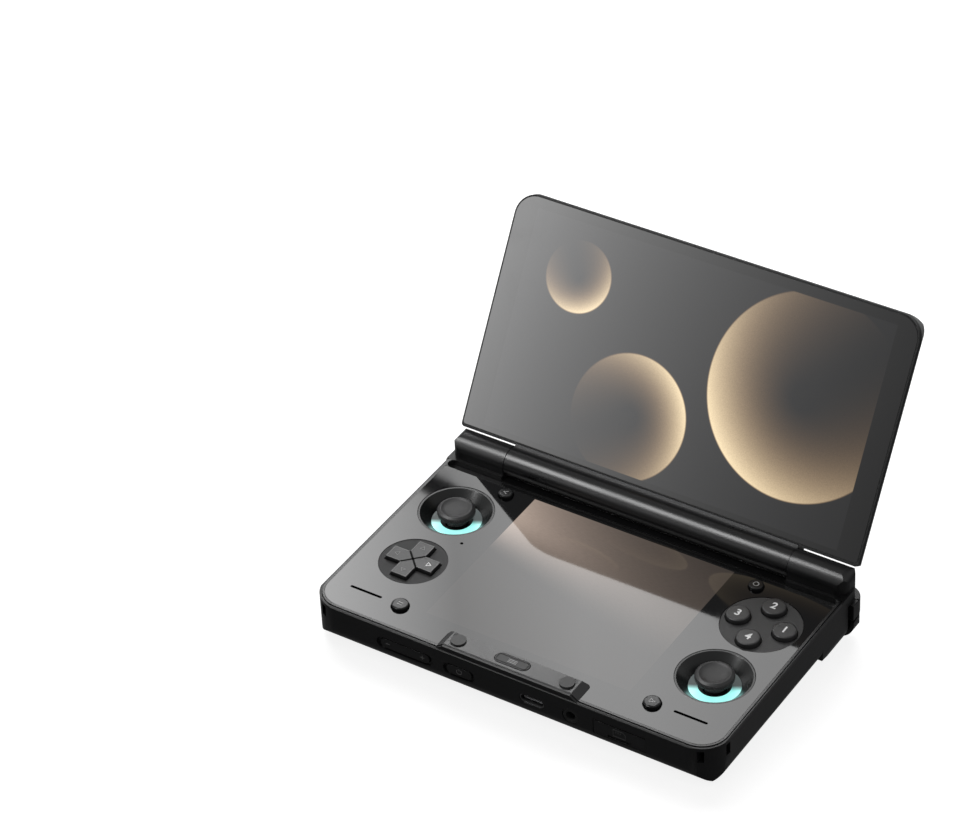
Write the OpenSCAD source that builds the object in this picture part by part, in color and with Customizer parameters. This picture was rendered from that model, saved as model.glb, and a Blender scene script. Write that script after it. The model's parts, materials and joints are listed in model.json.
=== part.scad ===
// Clamshell handheld game console, standing open.
// X runs to the player's right, Y from the front wall to the hinge, Z up.
// The origin is the centre of the base's flat bottom face.

/* [Base] */
// Width of the base and of the lid
body_w = 150; // [147:1:156]
// Depth from the front wall to the back of the hinge towers
body_d = 94; // [93:1:98]
// Height of the deck glass above the bottom face
deck_h = 14.6; // [14.4:0.2:16]
// Corner radius of the front corners, seen from above
front_r = 10; // [8:0.5:12]
// Corner radius of the rear corners, seen from above
rear_r = 5; // [4:0.5:6]
// Radius under the side walls
side_under_r = 4.5; // [3:0.5:5]
// Radius under the front wall
front_under_r = 5.5; // [4:0.5:6]
// Wall and floor thickness of the lower case
wall = 1.8; // [1.6:0.1:2]
// How far the rear grips reach below the bottom face
grip_drop = 5.5; // [4.5:0.5:6]
// Width of each rear grip
grip_w = 30; // [29:0.5:31]
// Depth of each rear grip, from its first rise to the rear wall
grip_d = 25; // [22:1:28]

/* [Deck] */
// Thickness of the deck glass
glass_t = 1; // [0.8:0.1:1.2]
// Thickness of the frame plate under the glass
plate_t = 1.8; // [1.6:0.1:2]
// Distance from the outer wall to the frame's rim
rim_inset = 0.95; // [0.9:0.05:1]
// Width of the frame's rim around the glass
rim_w = 0.8; // [0.7:0.1:1]
// Lower display, width of the lit area
low_lit_w = 75.1; // [72:0.1:76]
// Lower display, space between the front wall and the lit area
low_front = 12.8; // [12.4:0.1:15]
// Dark border of both display panels
panel_border = 0.5; // [0.4:0.1:0.8]
// Thickness of both display panels
panel_t = 1.5; // [1.2:0.1:1.6]
// Depth of the open trough between the glass and the hinge
trough_d = 3.7; // [3.3:0.1:4]
// Height of the raised lip at the front
lip_h = 1.9; // [1.5:0.1:2]
// Width of the raised lip along its top
lip_w = 47; // [44:1:50]
// Depth of the raised lip
lip_d = 7.9; // [7.5:0.1:8.4]
// Run of the sloping ends of the lip
lip_ramp = 2.6; // [2:0.1:3]

/* [Hinge and lid] */
// Opening angle between the deck and the upper display
lid_angle = 121; // [60:1:139]
// Radius of the hinge barrel
barrel_r = 5; // [4.8:0.1:5.2]
// Height of the hinge axis above the deck
axis_up = 2.7; // [2.6:0.1:3]
// Length of each hinge tower
tower_w = 21.4; // [20:0.2:23]
// Gap between the deck and the upper glass when shut
shut_gap = 2.6; // [2.5:0.1:2.9]
// Length of the lid from its hinge edge to its free edge
lid_len = 82.4; // [81.4:0.2:82.8]
// Thickness of the lid
lid_t = 6; // [5.8:0.1:6.6]
// Corner radius at the lid's free edge
lid_corner_r = 8; // [6:0.5:9]
// Radius around the lid's back edge
lid_back_r = 4.6; // [3.6:0.2:5]
// Space between the hinge axis and the lid's hinge edge
lid_setback = 5.5; // [5.4:0.1:5.8]
// Upper display, space between the lit area and the lid's sides
top_side = 8.6; // [8:0.1:11]
// Upper display, space between the lit area and the lid's free edge
top_edge = 4.4; // [3.8:0.1:7]
// Radius of the hinge shafts
shaft_r = 1.8; // [1.6:0.1:2]
// Wall of the lid's back shell
lid_wall = 1.4; // [1.2:0.1:1.5]

/* [Sticks] */
// Distance from the side wall to the stick centres
stick_inset = 18; // [17.8:0.1:18.6]
// Rear row of controls, measured from the deck's middle line
rear_row_y = 13.4; // [13:0.2:14]
// Front row of controls, measured from the deck's middle line
front_row_y = -15.2; // [-15.6:0.2:-14.8]
// Radius of the stick wells
stick_well_r = 12.8; // [12.4:0.1:12.9]
// Radius of the stick caps
cap_r = 6.4; // [6:0.1:6.6]
// Height of the stick caps above the deck
cap_up = 1.5; // [1.2:0.1:1.6]
// Depth of the light ring under the deck
ring_down = 3.8; // [3.6:0.1:4.2]
// Outer radius of the light ring
ring_r = 8.4; // [8:0.1:8.8]

/* [Buttons] */
// Radius of the cross-key well
cross_well_r = 11.4; // [11:0.1:11.6]
// Half length of the cross-key arms
cross_arm = 8.7; // [8.2:0.1:8.9]
// Width of the cross-key arms
cross_w = 5.8; // [5.4:0.1:6.2]
// Height of the cross key above the deck
cross_up = 1.1; // [0.9:0.1:1.3]
// Radius of the face-button well
face_well_r = 13.4; // [13.2:0.1:13.6]
// Distance of each face button from the middle of its well
face_pitch = 8.4; // [8.1:0.1:8.5]
// Radius of the face buttons
face_r = 4; // [3.8:0.1:4.1]
// Height of the face buttons above the deck
face_up = 1.5; // [1.2:0.1:1.6]
// Radius of the two front round buttons
front_btn_r = 2.9; // [2.6:0.1:3]
// Radius of the two rear round buttons
rear_btn_r = 2.5; // [2.3:0.1:2.6]
// Height of the round buttons above the deck
small_up = 1.2; // [1:0.1:1.4]
// Length of the menu key in the lip
menu_len = 12.3; // [11:0.1:13]
// Width of the menu key in the lip
menu_w = 4.2; // [3.8:0.1:4.4]
// Radius of the rubber bumpers in the lip
bumper_r = 2.5; // [2.2:0.1:2.7]
// Height of the shoulder buttons
shoulder_h = 6.2; // [5.8:0.1:6.3]
// Width of the shoulder buttons and the triggers
shoulder_w = 24.7; // [24:0.1:25.5]
// How far the shoulder buttons stand out from the rear wall
shoulder_proud = 2; // [1.6:0.1:2.2]

/* [Ports] */
// Height of the middle of the ports and side keys
port_z = 7.7; // [7.5:0.1:8]
// Length of the volume key
volume_len = 18.4; // [17:0.2:20]
// Length of the power key
power_len = 9.4; // [8.6:0.2:10]
// Height of the volume and power keys
key_h = 3.6; // [3.2:0.1:3.8]
// Width of the data socket
usb_w = 8.94; // [8.8:0.02:9.1]
// Height of the data socket
usb_h = 3.26; // [3.1:0.02:3.4]
// Bore radius of the headphone socket
jack_r = 1.78; // [1.75:0.01:1.9]
// Width of the memory-card flap
flap_w = 18.6; // [17:0.2:19.6]
// Height of the memory-card flap
flap_h = 5.6; // [5:0.1:5.8]
// Length of the speaker slits
slit_len = 12; // [10:0.5:13]

/* [Inside] */
// Thickness of the circuit boards
board_t = 1; // [0.8:0.1:1.2]
// Height of the board above the case floor
board_up = 2.4; // [2.2:0.1:2.6]
// Width of the battery
battery_w = 84; // [76:1:86]
// Gap between the battery and the main board
battery_gap = 0.4; // [0.3:0.1:2]
// Thickness of the battery
battery_t = 5.4; // [4.6:0.2:6]
// Radius of the fan's rotor
fan_r = 12.6; // [11:0.2:13]
// Number of fan blades
fan_blades = 13; // [9:1:17]
// Number of heat-sink fins
fin_count = 15; // [9:1:19]
// Radius of the case screws
screw_r = 0.9; // [0.8:0.1:1]

/* [Fit] */
// Clearance around buttons and other moving keys
key_gap = 0.25; // [0.2:0.01:0.3]
// Clearance between covers that are fastened together
seam = 0.1; // [0.05:0.01:0.15]
// Radial running clearance of pins and shafts
run = 0.05; // [0.03:0.01:0.08]
// Travel of the face buttons and the round buttons
key_travel = 0.8; // [0.6:0.1:0.8]

/* [Hidden] */
$fn = 48;
eps = 0.01;

// edges and levels of the base
hx = body_w / 2;
fy = -body_d / 2;
ry = body_d / 2;
glass_z = deck_h - glass_t;
plate_z = glass_z - plate_t;
lip_z = deck_h + lip_h;
shell_lip = rim_inset - 0.15;
shell_top = deck_h - 0.3;
rim_in = rim_inset + rim_w;
glass_in = rim_in + seam / 2;
lip_y = fy + rim_inset + lip_d;

// hinge line and lid, with the lid drawn shut and then turned open
axis_y = ry - barrel_r - 0.2;
axis_z = deck_h + axis_up;
tower_x = hx - tower_w;
tower_y = axis_y - barrel_r - 1.1;
trough_y = tower_y - 0.1 - trough_d;
lid_face = deck_h + shut_gap;
lid_back = lid_face + lid_t;
lid_y1 = axis_y - lid_setback;
lid_y0 = lid_y1 - lid_len;
top_lit_w = body_w - 2 * top_side;
top_lit_h = lid_len - 3.3 - top_edge;
barrel_x = tower_x - 0.2;
saddle_r = barrel_r + 0.35;
rear_wall_top = deck_h - 1.6;
lid_glass_in = 0.7;
lid_frame_z = lid_face + glass_t + 0.8;
cover_x = barrel_x - 6.2;

// lower display
low_rear = trough_y - 0.1 - panel_border - seam;
low_lit_d = low_rear - fy - low_front;
low_y = low_rear - low_lit_d / 2;

// controls on the deck
left_stick = [-(hx - stick_inset), rear_row_y];
right_stick = [hx - stick_inset, front_row_y];
cross_at = [-(hx - stick_inset - 1.8), front_row_y];
face_at = [hx - stick_inset + 0.6, rear_row_y - 0.2];
front_btn_x = hx - 28.4;
front_btn_y = fy + 11.2;
rear_btn_x = hx - 27.8;
rear_btn_y = trough_y - 0.9 - rear_btn_r;
slit_x = hx - 15;
slit_y = fy + 11.7;
mic_at = [-(hx - 28.6), 0.2];
ledge = 0.8;
ledge_z = glass_z - 1.2;

// inner levels
screw_places = [[hx - 28.4, fy + 19.5], [17.2, fy + 9], [hx - 34, ry - 23]];
floor_z = wall;
board_z = floor_z + board_up;
board_top = board_z + board_t;
ring_z = deck_h - ring_down;
module_top = ring_z - 0.8;
tilt_z = module_top - 1.6;
flange_z = ledge_z - 0.1;
dome_top = board_top + 1.6;
stem_z = dome_top + key_travel + 0.15;
gimbal_z = ledge_z - 2.2;
fan_y = ry - 28;
fan_box = fan_r + 2;
fan_h = 6.4;
sink_y0 = fan_y + fan_box + 0.1;
sink_y1 = ry - wall - 1.4;
board_y0 = fan_y - fan_box - 4.2;
board_y1 = tower_y - wall - 0.3;
battery_y0 = fy + wall + 14;
battery_y1 = board_y0 - battery_gap;
battery_y = (battery_y0 + battery_y1) / 2;
wing_x = hx - 30;

// shoulder buttons and triggers
sh_z0 = port_z - 3.9;
sh_z1 = sh_z0 + shoulder_h;
sh_x0 = hx - shoulder_w;
sh_y0 = 40;
sh_side = 1.3;
sh_skin = 1.5;
sh_pin = [sh_x0 + 3, ry - sh_skin - 1.4];
trig_z1 = sh_z0 - 0.3;
trig_z0 = -grip_drop + 0.3;
trig_y0 = ry - 6.4;
trig_wall_y = trig_y0 - 1.8;
trig_pin = [ry - 2.2, trig_z1 - 1.9];
trig_ears = [sh_x0 + 2.4, hx - 5.6];
trig_ear_w = 1.8;
trig_skin = 1.3;
pin_r = 0.8;

// ports along the front wall, from left to right
volume_x = -38;
power_x = -17.6;
usb_x = 9.4;
jack_x = 23.6;
flap_x = 41.2;
pocket_d = 0.9;
flap_pin = [fy + 1, port_z + flap_h / 2 - 1.1];
switch_y = fy + wall + 1.7;
menu_z0 = plate_z - 0.9;
port_board_y = [fy + wall + 1.8, fy + wall + 11.8];

// ---------------------------------------------------------------- helpers

// box from one corner to the other
module box(a, b) {
    translate(a) cube(b - a);
}

// outline seen from above, with its own radius at the front and at the rear corners
module plan(half_w, y0, y1, r0, r1) {
    for (s = [-1, 1]) {
        translate([s * (half_w - r0), y0 + r0]) circle(r = r0);
        translate([s * (half_w - r1), y1 - r1]) circle(r = r1);
    }
    translate([-half_w, y0 + r0]) square([2 * half_w, y1 - y0 - r0 - r1]);
    translate([-(half_w - r0), y0]) square([2 * (half_w - r0), y1 - y0 - r1]);
    translate([-(half_w - r1), y0 + r0]) square([2 * (half_w - r1), y1 - y0 - r0]);
}

// plate with that outline
module slab(half_w, y0, y1, r0, r1, z0, z1) {
    translate([0, 0, z0]) linear_extrude(z1 - z0) plan(half_w, y0, y1, r0, r1);
}

// extrusion along X of a drawing made in Y and Z
module along_x(x0, x1) {
    translate([x0, 0, 0]) rotate([90, 0, 90]) linear_extrude(x1 - x0) children();
}

// extrusion along Y of a drawing made in X and Z
module along_y(y0, y1) {
    translate([0, y1, 0]) rotate([90, 0, 0]) linear_extrude(y1 - y0) children();
}

// upright cylinder
module rod(at, r, z0, z1) {
    translate([at[0], at[1], z0]) cylinder(r = r, h = z1 - z0);
}

// cylinder along X at [y, z]
module rod_x(at, r, x0, x1) {
    translate([x0, at[0], at[1]]) rotate([0, 90, 0]) cylinder(r = r, h = x1 - x0);
}

// cylinder along Y at [x, z]
module rod_y(at, r, y0, y1) {
    translate([at[0], y0, at[1]]) rotate([-90, 0, 0]) cylinder(r = r, h = y1 - y0);
}

// round-ended bar seen from the front, its middle at [x, z]
module bar_y(at, len, h, y0, y1) {
    for (s = [-1, 1]) rod_y([at[0] + s * (len - h) / 2, at[1]], h / 2, y0, y1);
    box([at[0] - (len - h) / 2, y0, at[1] - h / 2], [at[0] + (len - h) / 2, y1, at[1] + h / 2]);
}

// round-ended bar seen from above
module bar_z(at, len, w, z0, z1) {
    for (s = [-1, 1]) rod([at[0] + s * (len - w) / 2, at[1]], w / 2, z0, z1);
    box([at[0] - (len - w) / 2, at[1] - w / 2, z0], [at[0] + (len - w) / 2, at[1] + w / 2, z1]);
}

// both sides of the body
module both() {
    children();
    mirror([1, 0, 0]) children();
}

// puts what is drawn shut at the lid's opening angle
module opened() {
    translate([0, axis_y, axis_z]) rotate([-lid_angle, 0, 0]) translate([0, -axis_y, -axis_z]) children();
}

// ---------------------------------------------------------------- lower case

// end view of the base, rounded under both sides
module base_end_view(inset) {
    r = side_under_r - inset;
    for (s = [-1, 1]) translate([s * (hx - inset - r), inset + r]) circle(r = r);
    translate([-(hx - inset), inset + r]) square([2 * (hx - inset), lip_z]);
    translate([-(hx - inset - r), inset]) square([2 * (hx - inset - r), r + 1]);
}

// side view of the base, rounded under the front and the rear wall
module base_side_view(inset) {
    rf = front_under_r - inset;
    rb = 3.2 - inset;
    translate([fy + inset + rf, inset + rf]) circle(r = rf);
    translate([ry - inset - rb, inset + rb]) circle(r = rb);
    translate([fy + inset, inset + rf]) square([body_d - 2 * inset, lip_z]);
    translate([fy + inset + rf, inset]) square([body_d - 2 * inset - rf - rb, rf + 1]);
    translate([ry - inset - rb - 1, inset + rb]) square([rb + 1, rf + 1]);
}

module base_body(inset, z1) {
    intersection() {
        slab(hx - inset, fy + inset, ry - inset, front_r - inset, rear_r - inset, 0, z1);
        along_y(fy, ry) base_end_view(inset);
        along_x(-hx, hx) base_side_view(inset);
    }
}

// the grip's underside falls in a smooth wave from the bottom face
module grip_side_view(inset) {
    run_d = grip_d - 12;
    y0 = ry - grip_d;
    wave = [for (i = [0:10]) [y0 + inset + run_d * i / 10, -(grip_drop - inset) * (1 - cos(18 * i)) / 2]];
    polygon(concat([[y0 + inset, 3 + side_under_r]], wave,
        [[ry - 3, inset - grip_drop], [ry - inset, 3 + inset - grip_drop], [ry - inset, 3 + side_under_r]]));
}

module grip_end_view(inset) {
    r = 7.4 - inset;
    x0 = hx - grip_w + inset;
    x1 = hx - inset;
    bottom = inset - grip_drop;
    translate([x0 + r, bottom + r]) circle(r = r);
    translate([x1 - r, bottom + r]) circle(r = r);
    translate([x0 + r, bottom]) square([x1 - x0 - 2 * r, 2 * r]);
    translate([x0, bottom + r]) square([x1 - x0, grip_drop + side_under_r + 3 - r]);
}

module grip(inset) {
    intersection() {
        along_x(sh_x0 - 4, hx) grip_side_view(inset);
        along_y(0, ry) grip_end_view(inset);
        slab(hx - inset, fy, ry - inset, front_r, rear_r - inset, -grip_drop, deck_h);
    }
}

// hinge tower: a round top over a straight foot, its outer end rounded
module tower() {
    intersection() {
        union() {
            rod_x([axis_y, axis_z], barrel_r + 0.1, tower_x, hx);
            box([tower_x, axis_y - barrel_r - 0.1, deck_h - 1], [hx, ry, axis_z]);
            box([tower_x, tower_y, plate_z], [hx, axis_y, deck_h]);
            box([tower_x, tower_y, 8], [hx, ry, plate_z + 1]);
        }
        along_y(tower_y, ry) {
            translate([hx - 5, axis_z + barrel_r + 0.1 - 4.4]) circle(r = 4.4);
            translate([tower_x, 0]) square([tower_w - 5, axis_z + barrel_r + 1]);
            translate([tower_x, 0]) square([tower_w, axis_z + barrel_r + 0.1 - 4.4]);
        }
        slab(hx, fy, ry, front_r, rear_r, 0, axis_z + barrel_r + 1);
        union() {
            box([tower_x, tower_y, 0], [hx, ry, deck_h]);
            slab(hx - 0.6, axis_y - barrel_r - 0.15, ry + 3, 4.4, 4.4, deck_h - 1, axis_z + barrel_r + 1);
        }
    }
}

// outline of the shoulder button: a band that wraps the rear corner
module shoulder_view() {
    intersection() {
        difference() {
            plan(hx + sh_side, fy, ry + shoulder_proud, front_r, rear_r + 1);
            plan(hx - sh_skin, fy - 1, ry - sh_skin, front_r, rear_r - 1);
        }
        translate([sh_x0, sh_y0]) square([shoulder_w + 4, body_d]);
    }
}

// room for the shoulder button and its swing
module shoulder_pocket_view() {
    intersection() {
        difference() {
            plan(hx + sh_side + 0.3, fy, ry + shoulder_proud + 0.3, front_r, rear_r + 1);
            plan(hx - sh_skin - 1.1, fy - 1, ry - sh_skin - 1.9, front_r, rear_r - 1);
        }
        translate([sh_x0 - 0.3, sh_y0 - 1.3]) square([shoulder_w + 4, body_d]);
    }
}

// the strap goes in at the front and out at the side
module strap_slot() {
    z0 = deck_h - 6;
    box([hx - 6.5, fy - 1, z0], [hx - 4.5, fy + 9.8, z0 + 4.4]);
    box([hx - 6.5, fy + 7.8, z0], [hx + 1, fy + 9.8, z0 + 4.4]);
}

module strap_post() {
    intersection() {
        base_body(0.4, plate_z);
        box([hx - 8.4, fy, deck_h - 8], [hx, fy + 11.6, plate_z]);
    }
}

module base_shell() color([0.11, 0.11, 0.12]) {
    difference() {
        union() {
            difference() {
                union() {
                    intersection() {
                        base_body(0, lip_z);
                        union() {
                            box([-hx, fy, 0], [hx, tower_y + eps, shell_top]);
                            box([-hx, tower_y, 0], [hx, ry, rear_wall_top]);
                            // the front wall climbs along the raised lip
                            along_y(fy, fy + shell_lip)
                                polygon([[-lip_w / 2 - lip_ramp, shell_top], [-lip_w / 2, lip_z - 0.3],
                                    [lip_w / 2, lip_z - 0.3], [lip_w / 2 + lip_ramp, shell_top]]);
                        }
                    }
                    both() tower();
                    both() grip(0);
                }
                // hollow under the deck, and the lower hollow under the hinge
                intersection() {
                    base_body(wall, deck_h + 3);
                    union() {
                        box([-hx, fy, 0], [hx, tower_y - wall, deck_h + 3]);
                        box([-hx, 0, 0], [hx, ry, plate_z - 2.2]);
                    }
                }
                both() intersection() {
                    grip(wall);
                    box([0, 0, -grip_drop], [hx, ry, plate_z - 2.2]);
                }
                // pocket for each trigger
                both() box([sh_x0 - 0.3, trig_wall_y, -grip_drop - 1], [hx + 1, ry + 1, sh_z0 - 0.1]);
                // rebate for the frame
                slab(hx - shell_lip, fy + shell_lip, ry, front_r - shell_lip, rear_r, plate_z, lip_z + 1);
            }
            // the towers stand behind the rebate
            both() intersection() {
                tower();
                box([0, tower_y, plate_z - eps], [hx, ry, axis_z + barrel_r + 1]);
            }
            // saddle under the hinge barrel
            box([-tower_x - eps, tower_y, plate_z - eps], [tower_x + eps, ry, rear_wall_top]);
            both() strap_post();
            for (at = screw_places) both() rod(at, screw_r + 1.4, floor_z - eps, plate_z);
            // wall in front of each trigger, with the lugs for its pin
            both() intersection() {
                union() {
                    base_body(0, lip_z);
                    grip(0);
                }
                box([sh_x0 - 4, trig_wall_y - wall, -grip_drop], [hx, trig_wall_y, sh_z0 + 0.3]);
            }
            both() for (x = [trig_ears[0] + trig_ear_w + 0.2, trig_ears[1] - trig_ear_w - 0.2])
                box([x, trig_wall_y - eps, trig_pin[1] - 1.5],
                    [x + trig_ear_w, trig_pin[0] + 1.2, trig_pin[1] + 1.5]);
            // battery rails
            for (s = [-1, 1]) box([s * (battery_w / 2 + 0.8) - 0.5, battery_y - 12, floor_z - eps],
                [s * (battery_w / 2 + 0.8) + 0.5, battery_y + 12, floor_z + 3]);
        }
        // hinge barrel saddle and the bores for the hinge cartridges
        rod_x([axis_y, axis_z], saddle_r, -tower_x, tower_x);
        both() rod_x([axis_y, axis_z], 3.6, tower_x - 1, hx - 3);
        // rear corners taken by the shoulder buttons, and the seats of their pins
        both() translate([0, 0, sh_z0 - 0.15]) linear_extrude(shoulder_h + 0.3) shoulder_pocket_view();
        both() rod(sh_pin, pin_r, 0, axis_z - 5.5);
        both() rod_x(trig_pin, pin_r, trig_ears[0] - 0.1, trig_ears[1] + 0.1);
        both() strap_slot();
        // side keys and ports in the front wall
        bar_y([volume_x, port_z], volume_len + 3, key_h + 1.2, fy - 1, fy + pocket_d);
        bar_y([volume_x, port_z], volume_len + 2 * key_gap, key_h + 2 * key_gap, fy - 1, fy + wall + 1);
        bar_y([power_x, port_z], power_len + 2.4, key_h + 1.2, fy - 1, fy + pocket_d);
        bar_y([power_x, port_z], power_len + 2 * key_gap, key_h + 2 * key_gap, fy - 1, fy + wall + 1);
        bar_y([usb_x, port_z], usb_w + 0.1, usb_h + 0.1, fy - 1, fy + wall + 1);
        rod_y([jack_x, port_z], 3, fy - 1, fy + wall + 1);
        box([flap_x - flap_w / 2 - 0.15, fy - 1, port_z - flap_h / 2 - 0.15],
            [flap_x + flap_w / 2 + 0.15, fy + wall + 1, port_z + flap_h / 2 + 0.15]);
        rod_x(flap_pin, 0.5 + run, flap_x - flap_w / 2 - 1, flap_x + flap_w / 2 + 1);
        // chamfer along the top of the front wall and the side walls
        along_x(-hx - 1, hx + 1) polygon([[fy - 0.1, shell_top - 0.5], [fy + 0.6, shell_top + 0.2],
            [fy - 0.1, shell_top + 0.2]]);
        both() along_y(fy - 1, tower_y - 0.6) polygon([[hx + 0.1, shell_top - 0.6], [hx - 0.5, shell_top + 0.2],
            [hx + 0.1, shell_top + 0.2]]);
        // air intake under the fan and outlet slots behind the heat sink
        for (i = [-4:4])
            bar_z([0, fan_y + i * 2.4], 2 * sqrt(fan_r * fan_r - i * i * 5.76) - 1, 1.2, -1, wall + 1);
        for (i = [-5:5]) box([i * 3.1 - 0.6, ry - 9.4, -1], [i * 3.1 + 0.6, ry - 4.4, wall + 1]);
        // screw holes and the seats of the feet
        for (at = screw_places) both() {
            rod(at, screw_r + 0.05, -1, plate_z + 1);
            rod(at, screw_r + 0.9, -1, 1);
        }
        for (s = [-1, 1]) bar_z([s * 44, fy + 12.5], 34, 5, -1, 0.6);
        both() bar_z([hx - grip_w / 2, trig_wall_y - 2.2], 12, 3, -grip_drop - 1, 0.5 - grip_drop);
    }
}

// ---------------------------------------------------------------- deck

module lip_block(top, y1) {
    intersection() {
        along_y(fy + rim_inset, y1) polygon([[-lip_w / 2 - lip_ramp, plate_z], [-lip_w / 2 - lip_ramp, glass_z],
            [-lip_w / 2 - lip_ramp, deck_h], [-lip_w / 2, top], [lip_w / 2, top],
            [lip_w / 2 + lip_ramp, deck_h], [lip_w / 2 + lip_ramp, plate_z]]);
        along_x(-hx, hx) polygon([[fy + rim_inset, plate_z], [fy + rim_inset, top - 0.3], [fy + rim_inset + 0.3, top],
            [y1 - 1.2, top], [y1, deck_h], [y1, plate_z]]);
        slab(lip_w / 2 + lip_ramp, fy, y1, 0.4, 1.5, 0, top);
    }
}

// opening in the frame with a ledge that carries an insert
module ledge_hole(at, r) {
    rod(at, r - ledge, plate_z - 1, glass_z + 1);
    rod(at, r, ledge_z, deck_h + 1);
}

module top_frame() color([0.2, 0.2, 0.21]) {
    difference() {
        union() {
            difference() {
                slab(hx - rim_inset, fy + rim_inset, tower_y - 0.1, front_r - rim_inset, 0.4, plate_z, deck_h);
                slab(hx - rim_in, fy + rim_in, trough_y, front_r - rim_in, 0.5, glass_z, deck_h + 1);
                // trough in front of the hinge, with round ends
                for (s = [-1, 1]) rod([s * (hx - rim_in - trough_d / 2), trough_y + trough_d / 2 + 0.1],
                    trough_d / 2, plate_z + 0.8, deck_h + 1);
                box([-(hx - rim_in - trough_d / 2), trough_y - eps, plate_z + 0.8],
                    [hx - rim_in - trough_d / 2, ry, deck_h + 1]);
            }
            lip_block(lip_z, lip_y);
        }
        // window for the lower display
        box([-low_lit_w / 2 - panel_border - seam, low_y - low_lit_d / 2 - panel_border - seam, plate_z - 1],
            [low_lit_w / 2 + panel_border + seam, low_y + low_lit_d / 2 + panel_border + seam, glass_z + 1]);
        ledge_hole(left_stick, stick_well_r);
        ledge_hole(right_stick, stick_well_r);
        ledge_hole(cross_at, cross_well_r);
        ledge_hole(face_at, face_well_r);
        both() rod([front_btn_x, front_btn_y], front_btn_r + key_gap, plate_z - 1, deck_h + 1);
        both() rod([rear_btn_x, rear_btn_y], rear_btn_r + key_gap, plate_z - 1, deck_h + 1);
        both() bar_z([slit_x, slit_y], slit_len, 1, plate_z - 1, deck_h + 1);
        rod(mic_at, 0.55, plate_z - 1, deck_h + 1);
        bar_z([0, fy + rim_inset + 3.5], menu_len + 2 * key_gap, menu_w + 2 * key_gap, plate_z - 1, lip_z + 1);
        for (s = [-1, 1]) rod([s * 20, fy + rim_inset + 3.5], bumper_r + seam / 2, lip_z - 0.8, lip_z + 1);
        for (at = screw_places) both() rod(at, screw_r + 0.05, plate_z - 1, plate_z + 1);
        both() strap_slot();
    }
}

module deck_glass() color([0.05, 0.05, 0.055]) {
    difference() {
        slab(hx - glass_in, fy + glass_in, trough_y - 0.1, front_r - glass_in, 0.5, glass_z, deck_h);
        // notch around the lip
        translate([0, 0, glass_z - 1]) linear_extrude(glass_t + 2)
            plan(lip_w / 2 + lip_ramp + seam, fy - 4, lip_y + seam, 0.5, 1.6);
        rod(left_stick, stick_well_r, glass_z - 1, deck_h + 1);
        rod(right_stick, stick_well_r, glass_z - 1, deck_h + 1);
        rod(cross_at, cross_well_r, glass_z - 1, deck_h + 1);
        rod(face_at, face_well_r, glass_z - 1, deck_h + 1);
        both() rod([front_btn_x, front_btn_y], front_btn_r + key_gap, glass_z - 1, deck_h + 1);
        both() rod([rear_btn_x, rear_btn_y], rear_btn_r + key_gap, glass_z - 1, deck_h + 1);
        both() bar_z([slit_x, slit_y], slit_len, 1, glass_z - 1, deck_h + 1);
        rod(mic_at, 0.55, glass_z - 1, deck_h + 1);
    }
}

module lower_display() color([0.45, 0.38, 0.33]) {
    box([-low_lit_w / 2 - panel_border, low_y - low_lit_d / 2 - panel_border, glass_z - panel_t],
        [low_lit_w / 2 + panel_border, low_y + low_lit_d / 2 + panel_border, glass_z]);
}

// ---------------------------------------------------------------- inside the base

module main_board() color([0.05, 0.25, 0.14]) {
    difference() {
        union() {
            box([-wing_x + 0.2, board_y0, board_z], [wing_x - 0.2, board_y1, board_top]);
            // processor, memory and power parts
            box([20, fan_y - 13, board_top - eps], [34, fan_y + 1, board_top + 1.4]);
            box([22, fan_y + 4, board_top - eps], [32, fan_y + 13, board_top + 1]);
            box([-36, fan_y - 13, board_top - eps], [-24, fan_y - 3, board_top + 1]);
            for (i = [0:4])
                box([-38 + i * 4.4, fan_y + 7, board_top - eps], [-35 + i * 4.4, fan_y + 11, board_top + 1.2]);
        }
        box([-fan_box - 0.4, fan_y - fan_box - 0.4, board_z - 1], [fan_box + 0.4, ry, board_top + 3]);
        for (at = screw_places) both() rod(at, screw_r + 1.6, board_z - 1, board_top + 2);
    }
    // posts that carry the board on the case floor
    for (s = [-1, 1], y = [board_y0 + 1.6, board_y1 - 2]) rod([s * (wing_x - 12), y], 1.2, floor_z, board_z + eps);
}

module control_boards() color([0.05, 0.22, 0.13]) {
    both() difference() {
        union() {
            box([wing_x, fy + 7, board_z], [hx - wall - 0.8, board_y1, board_top]);
            for (p = [[wing_x + 3, fy + 14.4], [hx - 7, fy + 14], [wing_x + 3, ry - 28], [hx - 7, ry - 30]])
                rod(p, 1.2, floor_z, board_z + eps);
        }
        for (at = screw_places) rod(at, screw_r + 1.6, board_z - 1, board_top + 1);
    }
}

// strip along the front wall, with the switches of the side keys and the menu key
module port_board() color([0.05, 0.22, 0.13]) {
    difference() {
        union() {
            box([-wing_x + 0.4, port_board_y[0], board_z], [wing_x - 0.4, port_board_y[1], board_top]);
            box([volume_x - 1.2, port_board_y[0] - 1.2, board_z],
                [volume_x + 1.2, port_board_y[0] + 1, board_top]);
            for (x = [-40, -8, 8, 40]) rod([x, port_board_y[1] - 2], 1.2, floor_z, board_z + eps);
        }
        for (at = screw_places) both() rod(at, screw_r + 1.6, board_z - 1, board_top + 1);
    }
    for (s = [-1, 1]) box([volume_x + s * 4.6 - 1.4, switch_y + 0.2, board_top - eps],
        [volume_x + s * 4.6 + 1.4, switch_y + 2.4, port_z + 1.4]);
    box([power_x - 2, switch_y - 0.5, board_z], [power_x + 2, switch_y + 2.4, port_z + 1.4]);
    box([-2, switch_y + 0.2, board_top - eps], [2, switch_y + 2.4, menu_z0 - 0.6]);
    // pin that the volume key rocks on
    rod([volume_x, switch_y - 0.45], 0.5, board_top - eps, port_z + 2.6);
}

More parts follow.
